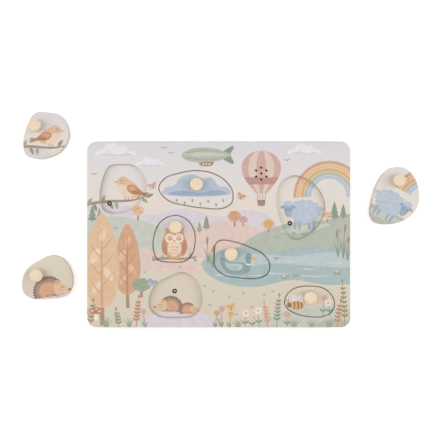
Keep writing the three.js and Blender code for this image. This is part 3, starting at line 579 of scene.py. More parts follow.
# %% Balloon
def balloon():
    """A hot-air balloon, 45 mm across, its middle at the origin."""
    up = np.linspace(0, 1, 25)
    below = 6 + 16.5 * np.sin(math.pi / 2 * np.minimum(up / 0.6, 1))
    above = 22.5 * np.sqrt(np.maximum(0, 1 - (np.maximum(up - 0.6, 0) / 0.4) ** 2))
    half = np.where(up < 0.6, below, above)
    height = 49 * up - 25
    seams = [-1, -0.66, -0.24, 0.24, 0.66, 1]
    shapes = []
    for i, (left, right) in enumerate(zip(seams, seams[1:])):
        panel = [np.column_stack([half * left, height]), np.column_stack([half * right, height])[-2::-1]]
        shapes.append(("rose_pale" if i % 2 else "rose", np.vstack(panel)))
    band = np.column_stack([half, height])[5:10]
    shapes.append(("rose_deep", np.vstack([band * (-1, 1), band[::-1]])))
    for x in (-4.6, -1.6, 1.6, 4.6):
        shapes.append(("bark", brush([(x, -24.5), (x * 0.95, -29), (x * 0.9, -33)], 0.7, 0.8)))
    shapes.append(("bark", np.array([(-4.6, -32.5), (-4, -39), (0, -39.6), (4, -39), (4.6, -32.5)])))
    for y in (-33.2, -35.6):
        shapes.append(("bark_deep", brush([(-4.4, y), (0, y - 0.3), (4.4, y)], 0.8, 0.8)))
    return shapes


print("balloon of", len(balloon()), "shapes")

# %% Airship and butterfly
def airship():
    """An airship that flies to the left, 63 mm long."""
    shapes = [("fern", closed_curve([(18, 3), (30, 11), (33, 9), (29, 1), (33, -8), (30, -10), (18, -3)]))]
    hull = [(-30, 0), (-24, 6), (-9, 9.4), (9, 8.6), (22, 4.6), (29, 0.6), (22, -3.6), (9, -7.6), (-9, -8.6),
            (-24, -5.6)]
    shapes.append(("sage", closed_curve(hull)))
    shine = [(-27, 1.4), (-9, 3.6), (10, 3), (25, 1), (10, -0.8), (-9, -1.2)]
    shapes.append(("sage_pale", closed_curve(shine)))
    for y in (5.4, -4.6):
        shapes.append(("sage_deep", brush([(-25, y * 0.55), (-2, y * 1.15), (24, y * 0.5)], 1.1, 0.3)))
    shapes.append(("bark", closed_curve([(-8, -8.4), (8, -7.6), (6, -12.4), (-6, -12.6)])))
    for x in (-3.6, 0, 3.6):
        shapes.append(("cream", oval(x, -10.2, 2, 2, 0, 10)))
    return shapes


def butterfly(ink, pale):
    """A butterfly with open wings, 11 mm across."""
    shapes = []
    for side in (-1, 1):
        shapes.append((ink, leaf(0, 0.6, 6.8, 4.6, 90 - side * 52)))
        shapes.append((pale, leaf(0, 0.2, 4.8, 3.6, 90 - side * 118)))
    shapes.append(("bark_deep", brush([(0, -2.4), (0.1, 0), (0, 2.6)], 0.9, 0.6)))
    return shapes


print("airship of", len(airship()), "and butterfly of", len(butterfly("rose", "rose_pale")), "shapes")

# %% Bird
def bird():
    """A small round bird that looks to the right, 40 mm from beak to tail."""
    shapes = []
    for i, ink in enumerate(["bark", "terracotta", "bark"]):
        shapes.append((ink, brush([(-8, -2), (-16, -6), (-25, -11 + 3 * i)], 4.4, 0.35)))
    body = [(-13, -5), (-9, 5), (-1, 11), (6, 16), (13, 15), (16.5, 9), (14, 0), (8, -8), (-1, -11),
            (-9, -10)]
    shapes.append(("peach", closed_curve(body)))
    breast = [(4, 3), (10, 6), (15, 5), (13, -2), (7, -8.5), (-1, -10.5), (-2, -4)]
    shapes.append(("peach_pale", closed_curve(breast)))
    wing = [(3, 4), (-3, 6), (-10, 2), (-18, -6), (-9, -7), (-1, -5), (3, -1)]
    shapes.append(("terracotta", closed_curve(wing)))
    shapes.append(("peach_deep", closed_curve([(1, 3), (-4, 4), (-9, 0.5), (-3, -2), (1, -1)])))
    for y in (-3.2, -5):
        shapes.append(("bark_deep", brush([(-3, y + 1), (-8, y), (-14, y - 1)], 0.8, 0.4)))
    shapes.append(("mustard", np.array([(15.6, 11.4), (15.8, 7.6), (21.5, 9)])))
    shapes.append(("rose", oval(9.8, 8, 4.4, 3.2)))
    shapes.append(("line", smile(11.5, 12, 4, 1.3)))
    for x in (2, 6):
        shapes.append(("bark_deep", brush([(x, -9.5), (x + 0.3, -12.5), (x + 0.2, -15.5)], 0.9, 0.9)))
    return shapes


print("bird of", len(bird()), "shapes")

# %% Owl
def owl():
    """An owl on a branch, seen from the front, 40 mm high."""
    shapes = [("bark", brush([(-30, -21), (-8, -18.6), (10, -19.6), (30, -17)], 3.6, 0.5))]
    body = [(0, 18), (10, 19), (14.5, 10), (16.5, -2), (12, -14), (0, -19), (-12, -14), (-16.5, -2),
            (-14.5, 10), (-10, 19)]
    shapes.append(("peach_deep", closed_curve(body)))
    for side in (-1, 1):
        shapes.append(("peach_deep", leaf(side * 8, 14, 10, 6, 90 - side * 22)))
    belly = [(0, 5), (8.5, 0), (8, -11), (0, -16.5), (-8, -11), (-8.5, 0)]
    shapes.append(("peach_pale", closed_curve(belly)))
    for row, y in enumerate((-3, -7, -11)):
        for x in np.arange(-4 + 2 * (row % 2), 5, 4):
            shapes.append(("peach_deep", smile(x, y, 3.4, 1.6, 0.9)))
    wing = [(14.5, 7), (17.5, -2), (15, -12), (10.5, -15), (10, -6), (11.5, 3)]
    for side in (-1, 1):
        shapes.append(("terracotta", closed_curve(wing) * (side, 1)))
        shapes.append(("bark", leaf(side * 12.6, 1, 11, 2.4, 270 + side * 3)))
        shapes.append(("cream", oval(side * 6, 8.4, 12.4, 12.4)))
        shapes.append(("peach", oval(side * 6, 8.4, 8.4, 8.4)))
        shapes.append(("line", smile(side * 6, 8.6, 5.4, 2)))
        shapes.append(("mustard", oval(side * 4, -18, 4.4, 3.2)))
    shapes.append(("mustard", np.array([(-1.8, 5.8), (0, 1.6), (1.8, 5.8), (0, 6.6)])))
    for x, turn, size in ((-24, 140, 9), (-19, 60, 8), (20, 70, 9), (25, -40, 8)):
        shapes.append(("sage_deep", leaf(x, -20 + 0.06 * x, size, 3.4, turn)))
    return shapes


print("owl of", len(owl()), "shapes")

# %% Duck
def duck():
    """A duck that swims to the left, 42 mm long."""
    body = [(-14, -1), (-9, 3), (2, 4.5), (12, 5), (22, 11), (21, 1), (14, -8), (0, -10.5), (-11, -8)]
    shapes = [("teal_deep", closed_curve(body))]
    neck = [(-15, 14), (-10, 15), (-7.5, 10), (-8.5, 4), (-4, 0), (-10, -5), (-14.4, -1), (-14.6, 6)]
    shapes.append(("teal_deep", closed_curve(neck)))
    shapes.append(("cream", brush([(-14.8, 2.4), (-11.6, 1.4), (-8.4, 2.8)], 1.7, 0.8)))
    shapes.append(("mustard", closed_curve([(-15.5, 11.6), (-21.5, 8.6), (-22.6, 7.2), (-15, 7.4)], 4)))
    shapes.append(("line", smile(-12.4, 10.8, 3.4, 1.2)))
    wing = [(-4, 1.6), (4, 3), (13, 3.4), (17, 5.4), (13, -2.6), (4, -5.6), (-3, -3.6)]
    shapes.append(("teal_pale", closed_curve(wing)))
    for y in (-0.2, -2.6):
        shapes.append(("teal_deep", brush([(1, y - 1), (7, y - 0.8), (13, y + 1.4)], 0.9, 0.4)))
    for x, y, long in ((-19, -11, 16), (4, -13, 22), (20, -9.5, 12)):
        shapes.append(("sky_pale", brush([(x - long / 2, y), (x, y - 0.8), (x + long / 2, y)], 1.3, 0.2)))
    return shapes


print("duck of", len(duck()), "shapes")

# %% Hedgehog
def hedgehog():
    """A hedgehog that walks to the right, 42 mm long."""
    spines = np.arange(45)
    angles = np.radians(np.linspace(-14, 205, len(spines)))
    ragged = np.where(spines % 2, 1.12, 1)
    shapes = [("peach", oval(0, -8, 30, 10))]
    for ink, grow in (("bark_deep", 1), ("bark", 0.84), ("peach_deep", 0.62)):
        reach = 18 * grow * ragged
        shapes.append((ink, np.column_stack([reach * np.cos(angles) - 3, reach * np.sin(angles) - 7])))
    face = [(6, 6), (12, 4.5), (17, -0.5), (23, -5), (21.5, -8.5), (13, -11), (6, -11), (3, -3)]
    shapes.append(("peach", closed_curve(face)))
    shapes.append(("peach_deep", oval(8, 3.5, 5.4, 5.4)))
    shapes.append(("rose", oval(8.2, 3.2, 3, 3)))
    shapes.append(("line", oval(22.6, -5.8, 3.2, 2.8)))
    shapes.append(("line", smile(14.4, -1.6, 3.8, 1.3)))
    shapes.append(("rose", oval(12.2, -5.6, 3.8, 2.6)))
    for x in (-9, -1, 8):
        shapes.append(("peach_deep", oval(x, -12.6, 5.4, 3)))
    return shapes


print("hedgehog of", len(hedgehog()), "shapes")

# %% Sheep
def sheep():
    """A woolly sheep that looks to the left, 52 mm long."""
    shapes = []
    for x in (-9, -3, 10, 16):
        shapes.append(("sky_deep", brush([(x, -8), (x + 0.2, -16), (x, -24)], 3.6, 0.8)))
    shapes.append(("sky", oval(26, 3, 7, 6)))
    shapes.append(("sky", scallop(4, 0, 40, 29, 13, 0.13)))
    for x, y in ((-2, 6), (7, 9), (14, 3), (3, -2), (11, -7), (-4, -7), (19, -3)):
        shapes.append(("sky_pale", smile(x, y, 6, 2.2, 1.1)))
    for side in (-1, 1):
        shapes.append(("sky_deep", leaf(-18 + side * 3, 7, 8.5, 4.4, 90 - side * 105)))
    head = [(-18, 11.5), (-12.6, 8), (-13, -1), (-16, -7), (-20, -7), (-23, -1), (-23.4, 8)]
    shapes.append(("sky_deep", closed_curve(head)))
    shapes.append(("sky", scallop(-18, 10.5, 11, 6.6, 6, 0.2)))
    for x in (-20.4, -15.4):
        shapes.append(("line", smile(x, 3, 2.8, 1)))
    shapes.append(("rose", oval(-18, -3.6, 3, 2)))
    return shapes


print("sheep of", len(sheep()), "shapes")

# %% Bee
def bee():
    """A bee that flies to the left, 22 mm long."""
    shapes = [("cloud", oval(-1, 7, 8, 12.5, 24)), ("cloud", oval(5, 7, 8, 12.5, -14))]
    shapes.append(("mustard", closed_curve([(-9, 0), (-4, 5), (4, 5.4), (11, 0), (4, -5.4), (-4, -5)])))
    for x, half in ((-2.6, 4.6), (2, 5), (6.4, 3.8)):
        shapes.append(("bark_deep", brush([(x, half), (x + 0.9, 0), (x, -half)], 2, 0.8)))
    shapes.append(("bark_deep", oval(-8.6, 0.4, 6, 6.4)))
    for tip in (-12.5, -9.9):
        shapes.append(("bark_deep", brush([(-9, 3), (tip + 0.6, 5.6), (tip, 8)], 0.7, 0.7)))
    return shapes


print("bee of", len(bee()), "shapes")

# %% Flowers
def stem_of(height, lean, ink="fern", width=0.9):
    """A thin stem from the origin up."""
    return (ink, brush([(0, 0), (lean * 0.35, height / 2), (lean, height)], width, 0.7))


def daisy(height, petal="cream", lean=0):
    """A flower with eight petals round a yellow heart."""
    shapes = [stem_of(height, lean)]
    for side in (-1, 1):
        shapes.append(("fern", leaf(lean * 0.2, height * 0.3, 6, 2.2, 90 - side * 48)))
    for turn in range(0, 360, 45):
        shapes.append((petal, leaf(lean, height, 4.8, 2.5, turn)))
    shapes.append(("mustard", oval(lean, height, 2.9, 2.9, 0, 12)))
    return shapes


def tulip(height, cup, lean):
    """A flower with a closed cup between two long leaves."""
    shapes = [stem_of(height, lean)]
    for side, long in ((-1, 0.55), (1, 0.42)):
        shapes.append(("sage_deep", leaf(0, 0.5, height * long, 2.6, 90 - side * 20)))
    for turn in (68, 112, 90):
        shapes.append((cup, leaf(lean, height - 1.4, 7.6, 4, turn)))
    return shapes


print("daisy of", len(daisy(15)), "and tulip of", len(tulip(15, "rose", 0)), "shapes")

# %% Sprig
def sprig(height, pairs, ink, lean, length=6, width=2.4):
    """A leafy stem from its foot up, its leaves in pairs."""
    shapes = [stem_of(height, lean, "terracotta")]
    for i in range(pairs):
        share = 0.25 + 0.7 * i / pairs
        for side in (-1, 1):
            long = length * (1.1 - 0.5 * share)
            shapes.append((ink, leaf(lean * share**1.5, height * share, long, width, 90 - side * 48)))
    shapes.append((ink, leaf(lean, height, length * 0.8, width, 90 - lean)))
    return shapes


print("sprig of", len(sprig(30, 5, "olive", 3)), "shapes")

# %% Grass
def grass(height, blades):
    """A bunch of blades that lean apart."""
    shapes = []
    for i in range(blades):
        lean = (i - (blades - 1) / 2) * 2.2
        tall = height * (1 - 0.06 * abs(lean) + 0.1 * (i % 2))
        blade = [(lean * 0.35, 0), (lean * 0.7, tall * 0.55), (lean * 1.7, tall)]
        shapes.append(("sage_deep", brush(blade, 1.5, 0.15)))
    return shapes


def tufts(places, ink="sage_deep"):
    """Small pen marks for grass: three short strokes each."""
    shapes = []
    for x, y in places:
        for lean in (-1.6, 0, 1.6):
            stroke = [(x + lean * 0.4, y), (x + lean * 0.8, y + 1.4), (x + lean * 1.3, y + 2.6)]
            shapes.append((ink, brush(stroke, 0.7, 0.5, 2)))
    return shapes


print("bunch of", len(grass(12, 5)), "and tuft of", len(tufts([(0, 0)])), "shapes")

# %% Reed and toadstool
def reed(height, lean):
    """A reed with its brown head and two long blades."""
    shapes = [stem_of(height, lean, "olive")]
    shapes.append(("bark", oval(lean, height, 2.7, 9.5, -4)))
    for side in (-1, 1):
        blade = [(0, 0), (side * 2, height * 0.4), (side * 5.5, height * 0.72)]
        shapes.append(("fern", brush(blade, 1.4, 0.1)))
    return shapes


def toadstool(size, cap):
    """A toadstool with a dotted cap, 18 mm across at size 1."""
    shapes = [("cream", brush([(0, 0), (0.2, 5), (0, 9)], 4.4, 0.75))]
    shapes.append((cap, closed_curve([(-9, 8), (-6, 13), (0, 15.4), (6, 13), (9, 8), (0, 7)])))
    for x, y, wide in ((-4, 11, 2.4), (0.6, 13, 2), (4, 10.4, 2.6)):
        shapes.append(("cream", oval(x, y, wide, wide * 0.8, 0, 10)))
    return [(ink, outline * size) for ink, outline in shapes]


print("reed of", len(reed(30, 1)), "and toadstool of", len(toadstool(1, "rose")), "shapes")

# %% Trees
def tall_tree(height, wide, crown, deep, pale):
    """A slim tree: an egg-shaped crown on a thin trunk, with its boughs drawn in."""
    half = wide / 2
    egg = [(0, 1), (0.66, 0.82), (1, 0.5), (0.72, 0.24), (0, 0.16), (-0.72, 0.24), (-1, 0.5), (-0.66, 0.82)]
    shapes = [("bark", brush([(0.6, 0), (0, height * 0.15), (0, height * 0.3)], wide * 0.13, 0.6))]
    shapes.append((crown, closed_curve(np.array(egg) * (half, height), 7)))
    dabs = [(-0.4, 0.62, 0.49, 0.22, 62), (0.36, 0.46, 0.42, 0.2, -60), (0.05, 0.8, 0.35, 0.16, 70),
            (-0.3, 0.34, 0.42, 0.15, 50)]
    for x, y, w, h, turn in dabs:
        shapes.append((pale, oval(x * half, y * height, w * wide, h * wide, turn)))
    stem = [(0, height * 0.17), (-0.4, height * 0.5), (0, height * 0.86)]
    shapes.append((deep, brush(stem, wide * 0.07, 0.15)))
    for i, y in enumerate((0.28, 0.36, 0.44, 0.52, 0.6, 0.68)):
        reach = (half if i % 2 else -half) * 0.62
        bough = [(0, y * height), (reach * 0.5, (y + 0.045) * height), (reach, (y + 0.12) * height)]
        shapes.append((deep, brush(bough, wide * 0.04, 0.3)))
    return shapes


def round_tree(height, wide, crown, deep):
    """A small tree with a bumpy round crown."""
    shapes = [("bark", brush([(0, 0), (0.1, height * 0.4), (0, height * 0.8)], wide * 0.16, 0.3))]
    shapes.append((crown, scallop(0, height * 0.66, wide, height * 0.64, 7, 0.1)))
    for x, y in ((-0.2, 0.72), (0.18, 0.6), (0.02, 0.85)):
        shapes.append((deep, smile(x * wide, y * height, wide * 0.28, wide * 0.1, 0.7)))
    return shapes


print("tall tree of", len(tall_tree(100, 30, "peach", "peach_deep", "peach_pale")), "shapes")

# %% Fir and branch
def fir(height, ink):
    """A fir of three tiers."""
    shapes = [("bark", brush([(0, 0), (0, height * 0.1), (0, height * 0.3)], height * 0.07, 0.9))]
    for low, top, half in ((0.14, 0.62, 0.25), (0.36, 0.82, 0.2), (0.58, 1, 0.145)):
        tier = [(-half, low), (0, low - 0.05), (half, low), (0, top)]
        shapes.append((ink, np.array(tier) * height))
    return shapes


def branch():
    """A leafy branch that rises to the right, 76 mm long."""
    shapes = [("bark", brush([(-46, -6), (-16, -1), (10, 0), (30, 5)], 3.2, 0.3))]
    leaves = [(-38, 50), (-30, -70), (-22, 70), (-14, -60), (-6, -80), (18, 60), (24, -40), (29, 20)]
    for i, (x, turn) in enumerate(leaves):
        shapes.append(("olive" if i % 2 else "sage_deep", leaf(x, -5 + 0.13 * (x + 40), 10, 4, turn)))
    return shapes


print("fir of", len(fir(20, "fern")), "and branch of", len(branch()), "shapes")

# %% [markdown]
# ## The sheet
#
# The scenery is painted from the back to the front over the whole sheet. Then each recess has its own
# picture: one on the floor, which runs on over the board's edge as print does, and one on the piece.

# %% Far scenery
def far_scenery():
    """Sky, airship, balloon and hills."""
    shapes = set_down(rainbow(40), (126, 44))
    for wide, at in ((46, (-118, 90)), (34, (-78, 78)), (38, (98, 92))):
        shapes += set_down(cloud(wide), at)
    shapes += far_birds([(-62, 98), (-54, 92), (78, 84), (-142, 68)])
    shapes += set_down(airship(), (-14, 90), 0.95) + set_down(balloon(), (48.6, 71.7))
    hills = [
        ("lilac", [(-175, 30), (-120, 38), (-80, 22), (-40, 30), (0, 20), (30, 28), (60, 18), (60, -20),
                   (-175, -20)]),
        ("sage_pale", [(-170, 10), (-130, 20), (-90, 17), (-60, 4), (-30, -6), (-60, -24), (-170, -24)]),
        ("rose_pale", [(-62, -14), (-34, 4), (-4, 14), (26, 13), (60, 0), (90, -12), (60, -24), (-40, -26)]),
        ("sage", [(24, -14), (52, 4), (84, 13), (120, 16), (170, 24), (172, -24), (90, -28), (40, -22)]),
        ("sage_pale", [(70, 4), (96, 10), (128, 12), (108, 4), (84, 1)]),
    ]
    shapes += [(ink, closed_curve(edge)) for ink, edge in hills]
    firs = [(-144, 14, 20), (-136, 16, 15), (-22, 2, 13), (-14, 5, 17), (132, 16, 22), (142, 18, 17)]
    for x, y, tall in firs:
        shapes += set_down(fir(tall, "fern" if tall > 16 else "sage_deep"), (x, y))
    trees = [(-92, 16, 17, 13, "peach", "terracotta"), (18, 9, 18, 14, "peach_deep", "terracotta"),
             (28, 9, 12, 10, "rose", "rose_deep"), (57, 2, 15, 12, "mustard", "terracotta"),
             (124, 14, 12, 10, "peach", "terracotta")]
    for x, y, tall, wide, crown, deep in trees:
        shapes += set_down(round_tree(tall, wide, crown, deep), (x, y))
    return shapes


scenery = far_scenery()
print("far scenery of", len(scenery), "shapes")

# %% Pond
def pond():
    """A pond with ripples, lily pads and reeds."""
    edge = [(-20, -36), (-4, -21), (24, -15), (64, -19), (104, -13), (172, -20), (172, -50), (128, -58),
            (84, -52), (40, -60), (2, -54)]
    shine = [(6, -30), (40, -22), (84, -25), (128, -20), (172, -26), (172, -38), (110, -36), (60, -33),
             (28, -38)]
    ripples = [(70, -44, 26), (112, -47, 34), (84, -30, 30), (134, -32, 22), (6, -46, 18), (104, -39, 16)]
    reeds = [(142, -27, 34, 2), (136, -26, 27, -1), (147, -30, 24, 1), (-12, -33, 26, -1), (-7, -38, 21, 1)]
    shapes = [("teal", closed_curve(edge)), ("teal_pale", closed_curve(shine))]
    for x, y, long in ripples:
        shapes.append(("sky_pale", brush([(x - long / 2, y), (x, y - 0.9), (x + long / 2, y)], 1.3, 0.2)))
    for x, y, wide in ((76, -49, 11), (88, -46.5, 8), (136, -44, 10), (66, -27, 7)):
        shapes.append(("sage_deep", oval(x, y, wide, wide * 0.42)))
        notch = [(x, y), (x + wide * 0.6, y - wide * 0.1), (x + wide * 0.6, y + wide * 0.14)]
        shapes.append(("teal", np.array(notch)))
        bud = oval(x - wide * 0.15, y + wide * 0.16, wide * 0.34, wide * 0.24)
        shapes.append(("rose_pale" if wide > 9 else "sage", bud))
    for x, y, tall, lean in reeds:
        shapes += set_down(reed(tall, lean), (x, y))
    return shapes


scenery += pond()
print("with the pond", len(scenery), "shapes")

# %% Plants along the bottom edge
ALONG_EDGE = [  # how far right of the middle each stands, and its shapes
    (-146, sprig(30, 5, "olive", 3)), (-94, sprig(34, 6, "terracotta", 3)), (-114, sprig(20, 4, "fern", -3)),
    (56, sprig(28, 5, "peach_deep", -4)), (144, sprig(52, 7, "olive", -3)), (66, sprig(36, 6, "fern", 3)),
    (135, sprig(30, 5, "terracotta", 4)),
    (-84, tulip(17, "rose", -2)), (-4, tulip(15, "peach_deep", 2)), (3, tulip(20, "rose", 1)),
    (12, tulip(14, "mustard", 2)),
    (30, daisy(17, "cream", 1)), (38, daisy(12, "rose_pale", 2)), (46, daisy(20, "cream", -1)),
    (78, daisy(15, "rose", 0)),
    (-128, grass(14, 5)), (-102, grass(12, 4)), (22, grass(11, 5)), (86, grass(12, 5)), (106, grass(10, 4)),
    (126, grass(13, 5)),
]
print(len(ALONG_EDGE), "plants along the bottom edge")

# %% Near scenery
BUTTERFLIES = [  # place, inks of the wings and turn
    ((-75, 54), "rose", "rose_pale", 20), ((25, 42), "peach_deep", "peach", -25),
    ((14, -84), "mustard", "peach", 15), ((-76, -56), "sky_deep", "sky", -20),
]


def near_scenery():
    """Field, tall trees and the row of flowers along the bottom edge."""
    patches = [
        ("rose_pale", [(-104, -28), (-86, -16), (-64, -22), (-20, -34), (-28, -46), (-74, -42), (-100, -40)]),
        ("lilac", [(-96, -118), (-80, -94), (-48, -84), (-14, -92), (6, -118)]),
        ("sage_pale", [(34, -120), (52, -98), (88, -84), (124, -82), (172, -92), (172, -120)]),
        ("sage", [(84, -120), (112, -101), (150, -98), (174, -108), (172, -122)]),
    ]
    shapes = [(ink, closed_curve(edge)) for ink, edge in patches]
    shapes += set_down(tall_tree(96, 30, "peach_deep", "terracotta", "peach"), (-104, -84))
    shapes += set_down(tall_tree(128, 40, "peach", "peach_deep", "peach_pale"), (-133, -104))
    shapes += set_down(round_tree(22, 20, "sage_deep", "fern"), (-88, -72))
    shapes += tufts([
        (-118, 6), (-70, 8), (-44, -38), (-6, -66), (12, -72), (28, -68), (-16, -60), (-92, -34), (52, -70),
        (62, -66), (0, -98), (20, -92), (108, 4), (138, 4), (66, -4), (-84, -44), (-10, -82), (38, -84)])
    for x, plant in ALONG_EDGE:
        shapes += set_down(plant, (x, -SHEET_TOP - 1))
    for at, ink, pale, turn in BUTTERFLIES:
        shapes += set_down(butterfly(ink, pale), at, 1, turn)
    shapes += set_down(toadstool(1, "terracotta"), (-140, -98))
    return shapes + set_down(toadstool(0.7, "rose_deep"), (-151, -96))


scenery += near_scenery()
print("whole scenery of", len(scenery), "shapes")

# %% Pictures of the recesses and pieces
RECESS_MIDDLE = {  # mm from the board's middle
    "upper_left": (-110.25, 52.26), "lower_left": (-48.3, -71.55), "right": (92.55, 31.27),
    "upper_middle": (-24.3, 50.99), "middle_left": (-51, -6.36), "middle": (24, -30),
    "lower_right": (104.7, -76.96),
}
DROPS = [(-24, -10), (-15, -13), (-6, -10), (3, -14), (12, -11), (21, -15), (29, -10)]


def round_middle():
    """Each recess's pictures, drawn round its middle: on the piece, and on the floor under it."""
    rain = set_down(cloud(76, "sky", "sky_deep"), (-1, -5))
    rain += [("sky_deep", leaf(x, y, 5, 2.6, -80)) for x, y in DROPS]
    flowers = set_down(daisy(22, "rose", 2), (14, -18)) + set_down(daisy(15, "cream", -2), (22, -16))
    perch = set_down(branch(), (-2, -13.5))
    on_piece = {
        "upper_left": perch + set_down(bird(), (4, -0.5), 0.85),
        "lower_left": set_down(hedgehog(), (3, -8), 0.95),
        "right": set_down(sheep(), (2, -8), 0.86, mirror=True),
        "upper_middle": rain,
        "middle_left": set_down(owl(), (0.5, -5), 0.84),
        "middle": set_down(duck(), (-1, -6), 0.95, mirror=True),
        "lower_right": flowers + set_down(bee(), (-16.5, -4), 0.9),
    }
    on_floor = dict(on_piece)
    on_floor["upper_left"] = perch + set_down(bird(), (8, -0.5), 0.9, mirror=True)
    on_floor["lower_left"] = set_down(hedgehog(), (-9, -8), 0.72, mirror=True)
    on_floor["lower_left"] += set_down(hedgehog(), (14, -13), 0.5)
    on_floor["right"] = set_down(sheep(), (3, -5), 0.86) + tufts([(-6, -31), (5, -32)], "fern")
    return on_piece, on_floor


piece_picture, floor_picture = round_middle()
print("pictures for", ", ".join(piece_picture))

# %% Pictures in their places
for name, middle in RECESS_MIDDLE.items():
    piece_picture[name] = scenery + set_down(piece_picture[name], middle)
    floor_picture[name] = set_down(floor_picture[name], middle)
whole_sheet = scenery + [shape for shapes in floor_picture.values() for shape in shapes]
print("whole sheet of", len(whole_sheet), "shapes")

# %% [markdown]
# ## Cutting the print to its surface
#
# Flat shapes laid on each other would flicker and stand proud, so they are cut into one mesh instead.
# Blender's triangulation in the plane takes all the outlines at once and says for each triangle which
# outlines it lies in: the last one painted gives its ink. The edges of the wood are sanded round, so points
# near an edge drop along a quarter circle, and rings of points just inside the edge let the mesh bend there.
# The wall below is the sawn wood.

# %% Lines round the wood
def anticlockwise(line):
    """A closed line that runs anticlockwise, turned round if it has to be."""
    x, y = line[:, 0], line[:, 1]
    return line if np.sum(x * np.roll(y, -1) - y * np.roll(x, -1)) > 0 else line[::-1]


def drawn_in(line, by):
    """An anticlockwise line moved inwards, or outwards where by is below 0."""
    along = np.roll(line, -1, 0) - np.roll(line, 1, 0)
    along /= np.linalg.norm(along, axis=1)[:, None]
    return line + by * np.column_stack([-along[:, 1], along[:, 0]])


print("a 10 mm disc drawn in by 1 mm is", np.ptp(drawn_in(oval(0, 0, 10, 10), 1)[:, 0]).round(2), "mm wide")

# %% Sanded edges
ARRIS = 0.55          # mm, the sanded edge of board and pieces
HOLE_ARRIS = 0.15     # mm, the edge of a drilled hole or a sawn window
ARRIS_STOPS = (0.12, 0.4, 1)   # where the rings of points lie, as shares of the arris


def edge_drop(points, edges):
    """How far each point drops where an edge is sanded round."""
    drop = np.zeros(len(points))
    for line, ease, _ in edges:
        near = np.all((points > line.min(0) - ease) & (points < line.max(0) + ease), axis=1)
        if ease == 0 or not near.any():
            continue
        along = np.roll(line, -1, 0) - line
        reach = points[near][:, None, :] - line[None]
        t = np.clip((reach * along).sum(2) / (along**2).sum(1), 0, 1)
        away = np.linalg.norm(reach - t[..., None] * along, axis=2).min(1)
        inset = np.clip(ease - away, 0, ease)
        drop[near] = np.maximum(drop[near], ease - np.sqrt(ease**2 - inset**2))
    return drop


print("arris", ARRIS, "mm")

# %% Cut a sheet
SNAP = 1e-4           # mm, points closer than this become one


def cut_sheet(rim, openings, shapes):
    """Points, triangles and each triangle's ink of a sheet.

    The rim and each opening are a line, its sanded ease and the side of it, 1 inside or -1 outside, where the
    wood is.
    """
    points, lines, faces = [], [], []

    def lay(outline, filled):
        """Add an outline's points, as a face or as a closed line."""
        ids = list(range(len(points), len(points) + len(outline)))
        points.extend(Vector(point) for point in outline)
        if filled:
            faces.append(ids)
        else:
            lines.extend(zip(ids, ids[1:] + ids[:1]))

    for line, _, _ in [rim, *openings]:
        lay(line, True)
    for line, ease, side in [rim, *openings]:
        for stop in ARRIS_STOPS if ease else ():
            lay(drawn_in(line, side * stop * ease), False)
    low, high = rim[0].min(0), rim[0].max(0)
    near = [(ink, line) for ink, line in shapes if (line.max(0) > low).all() and (line.min(0) < high).all()]
    for _, line in near:
        lay(anticlockwise(line), True)
    first = 1 + len(openings)
    flat, _, triangles, _, _, sources = geometry.delaunay_2d_cdt(points, lines, faces, 0, SNAP, True)
    kept, inks = [], []
    for triangle, ids in zip(triangles, sources):
        if 0 in ids and not any(0 < i < first for i in ids):
            kept.append(list(triangle))
            inks.append(near[max(ids) - first][0] if max(ids) >= first else None)
    return np.array([point[:] for point in flat]), kept, inks


print("a bare disc is cut into", len(cut_sheet((oval(0, 0, 30, 30), ARRIS, 1), [], [])[1]), "triangles")

# %% Raise a sheet
def finished_mesh(name, build):
    """The mesh of a bmesh that is done, its faces all turned outwards."""
    bmesh.ops.recalc_face_normals(build, faces=build.faces[:])
    mesh = bpy.data.meshes.new(name)
    build.to_mesh(mesh)
    build.free()
    return mesh


def raised_sheet(name, points, triangles, low, heights):
    """A closed mesh under a sheet, with top, walls and underside in this order, and the number of walls."""
    build = bmesh.new()
    used = sorted({i for triangle in triangles for i in triangle})
    top = {i: build.verts.new((*points[i] * MM, heights[i] * MM)) for i in used}
    for triangle in triangles:
        build.faces.new([top[i] for i in triangle])
    sides = {pair for a, b, c in triangles for pair in ((a, b), (b, c), (c, a))}
    border = sorted((a, b) for a, b in sides if (b, a) not in sides)
    foot = {a: build.verts.new((*points[a] * MM, low * MM)) for a, _ in border}
    for a, b in border:
        build.faces.new([foot[a], foot[b], top[b], top[a]])
    underside = [build.edges.get((foot[a], foot[b])) for a, b in border]
    bmesh.ops.triangle_fill(build, use_beauty=True, edges=underside)
    return finished_mesh(name, build), len(border)


print("ready to raise sheets")

# %% Print on a plate
SHARP_WALL = 50       # degrees: an edge that bends more than this isn't shaded smooth


def printed_plate(name, rim, openings, shapes, low, high):
    """A plate from low to high. Its top has the first material and may carry print, the rest the second."""
    points, triangles, inks = cut_sheet(rim, openings, shapes)
    drop = edge_drop(points, [rim, *openings])
    mesh, wall_count = raised_sheet(name, points, triangles, low, high - drop)
    count = len(mesh.polygons)
    wood = np.arange(count) >= len(triangles)
    bent = np.array([max(drop[i] for i in triangle) > 0 for triangle in triangles])
    walls = np.arange(count - len(triangles)) < wall_count
    mesh.polygons.foreach_set("material_index", wood.astype(np.int32))
    mesh.polygons.foreach_set("use_smooth", np.concatenate([bent, walls]))
    mesh.set_sharp_from_angle(angle=math.radians(SHARP_WALL))
    colours = np.zeros((len(mesh.loops), 4), np.float32)
    on_top = [ink_colour[ink] if ink else [0] * 4 for ink in inks]
    colours[:3 * len(triangles)] = np.repeat(on_top, 3, axis=0)
    mesh.color_attributes.new("ink", "FLOAT_COLOR", "CORNER").data.foreach_set("color", colours.ravel())
    spots = np.array([mesh.vertices[loop.vertex_index].co[:2] for loop in mesh.loops], np.float32)
    mesh.uv_layers.new(name="sheet").data.foreach_set("uv", spots.ravel())
    return mesh


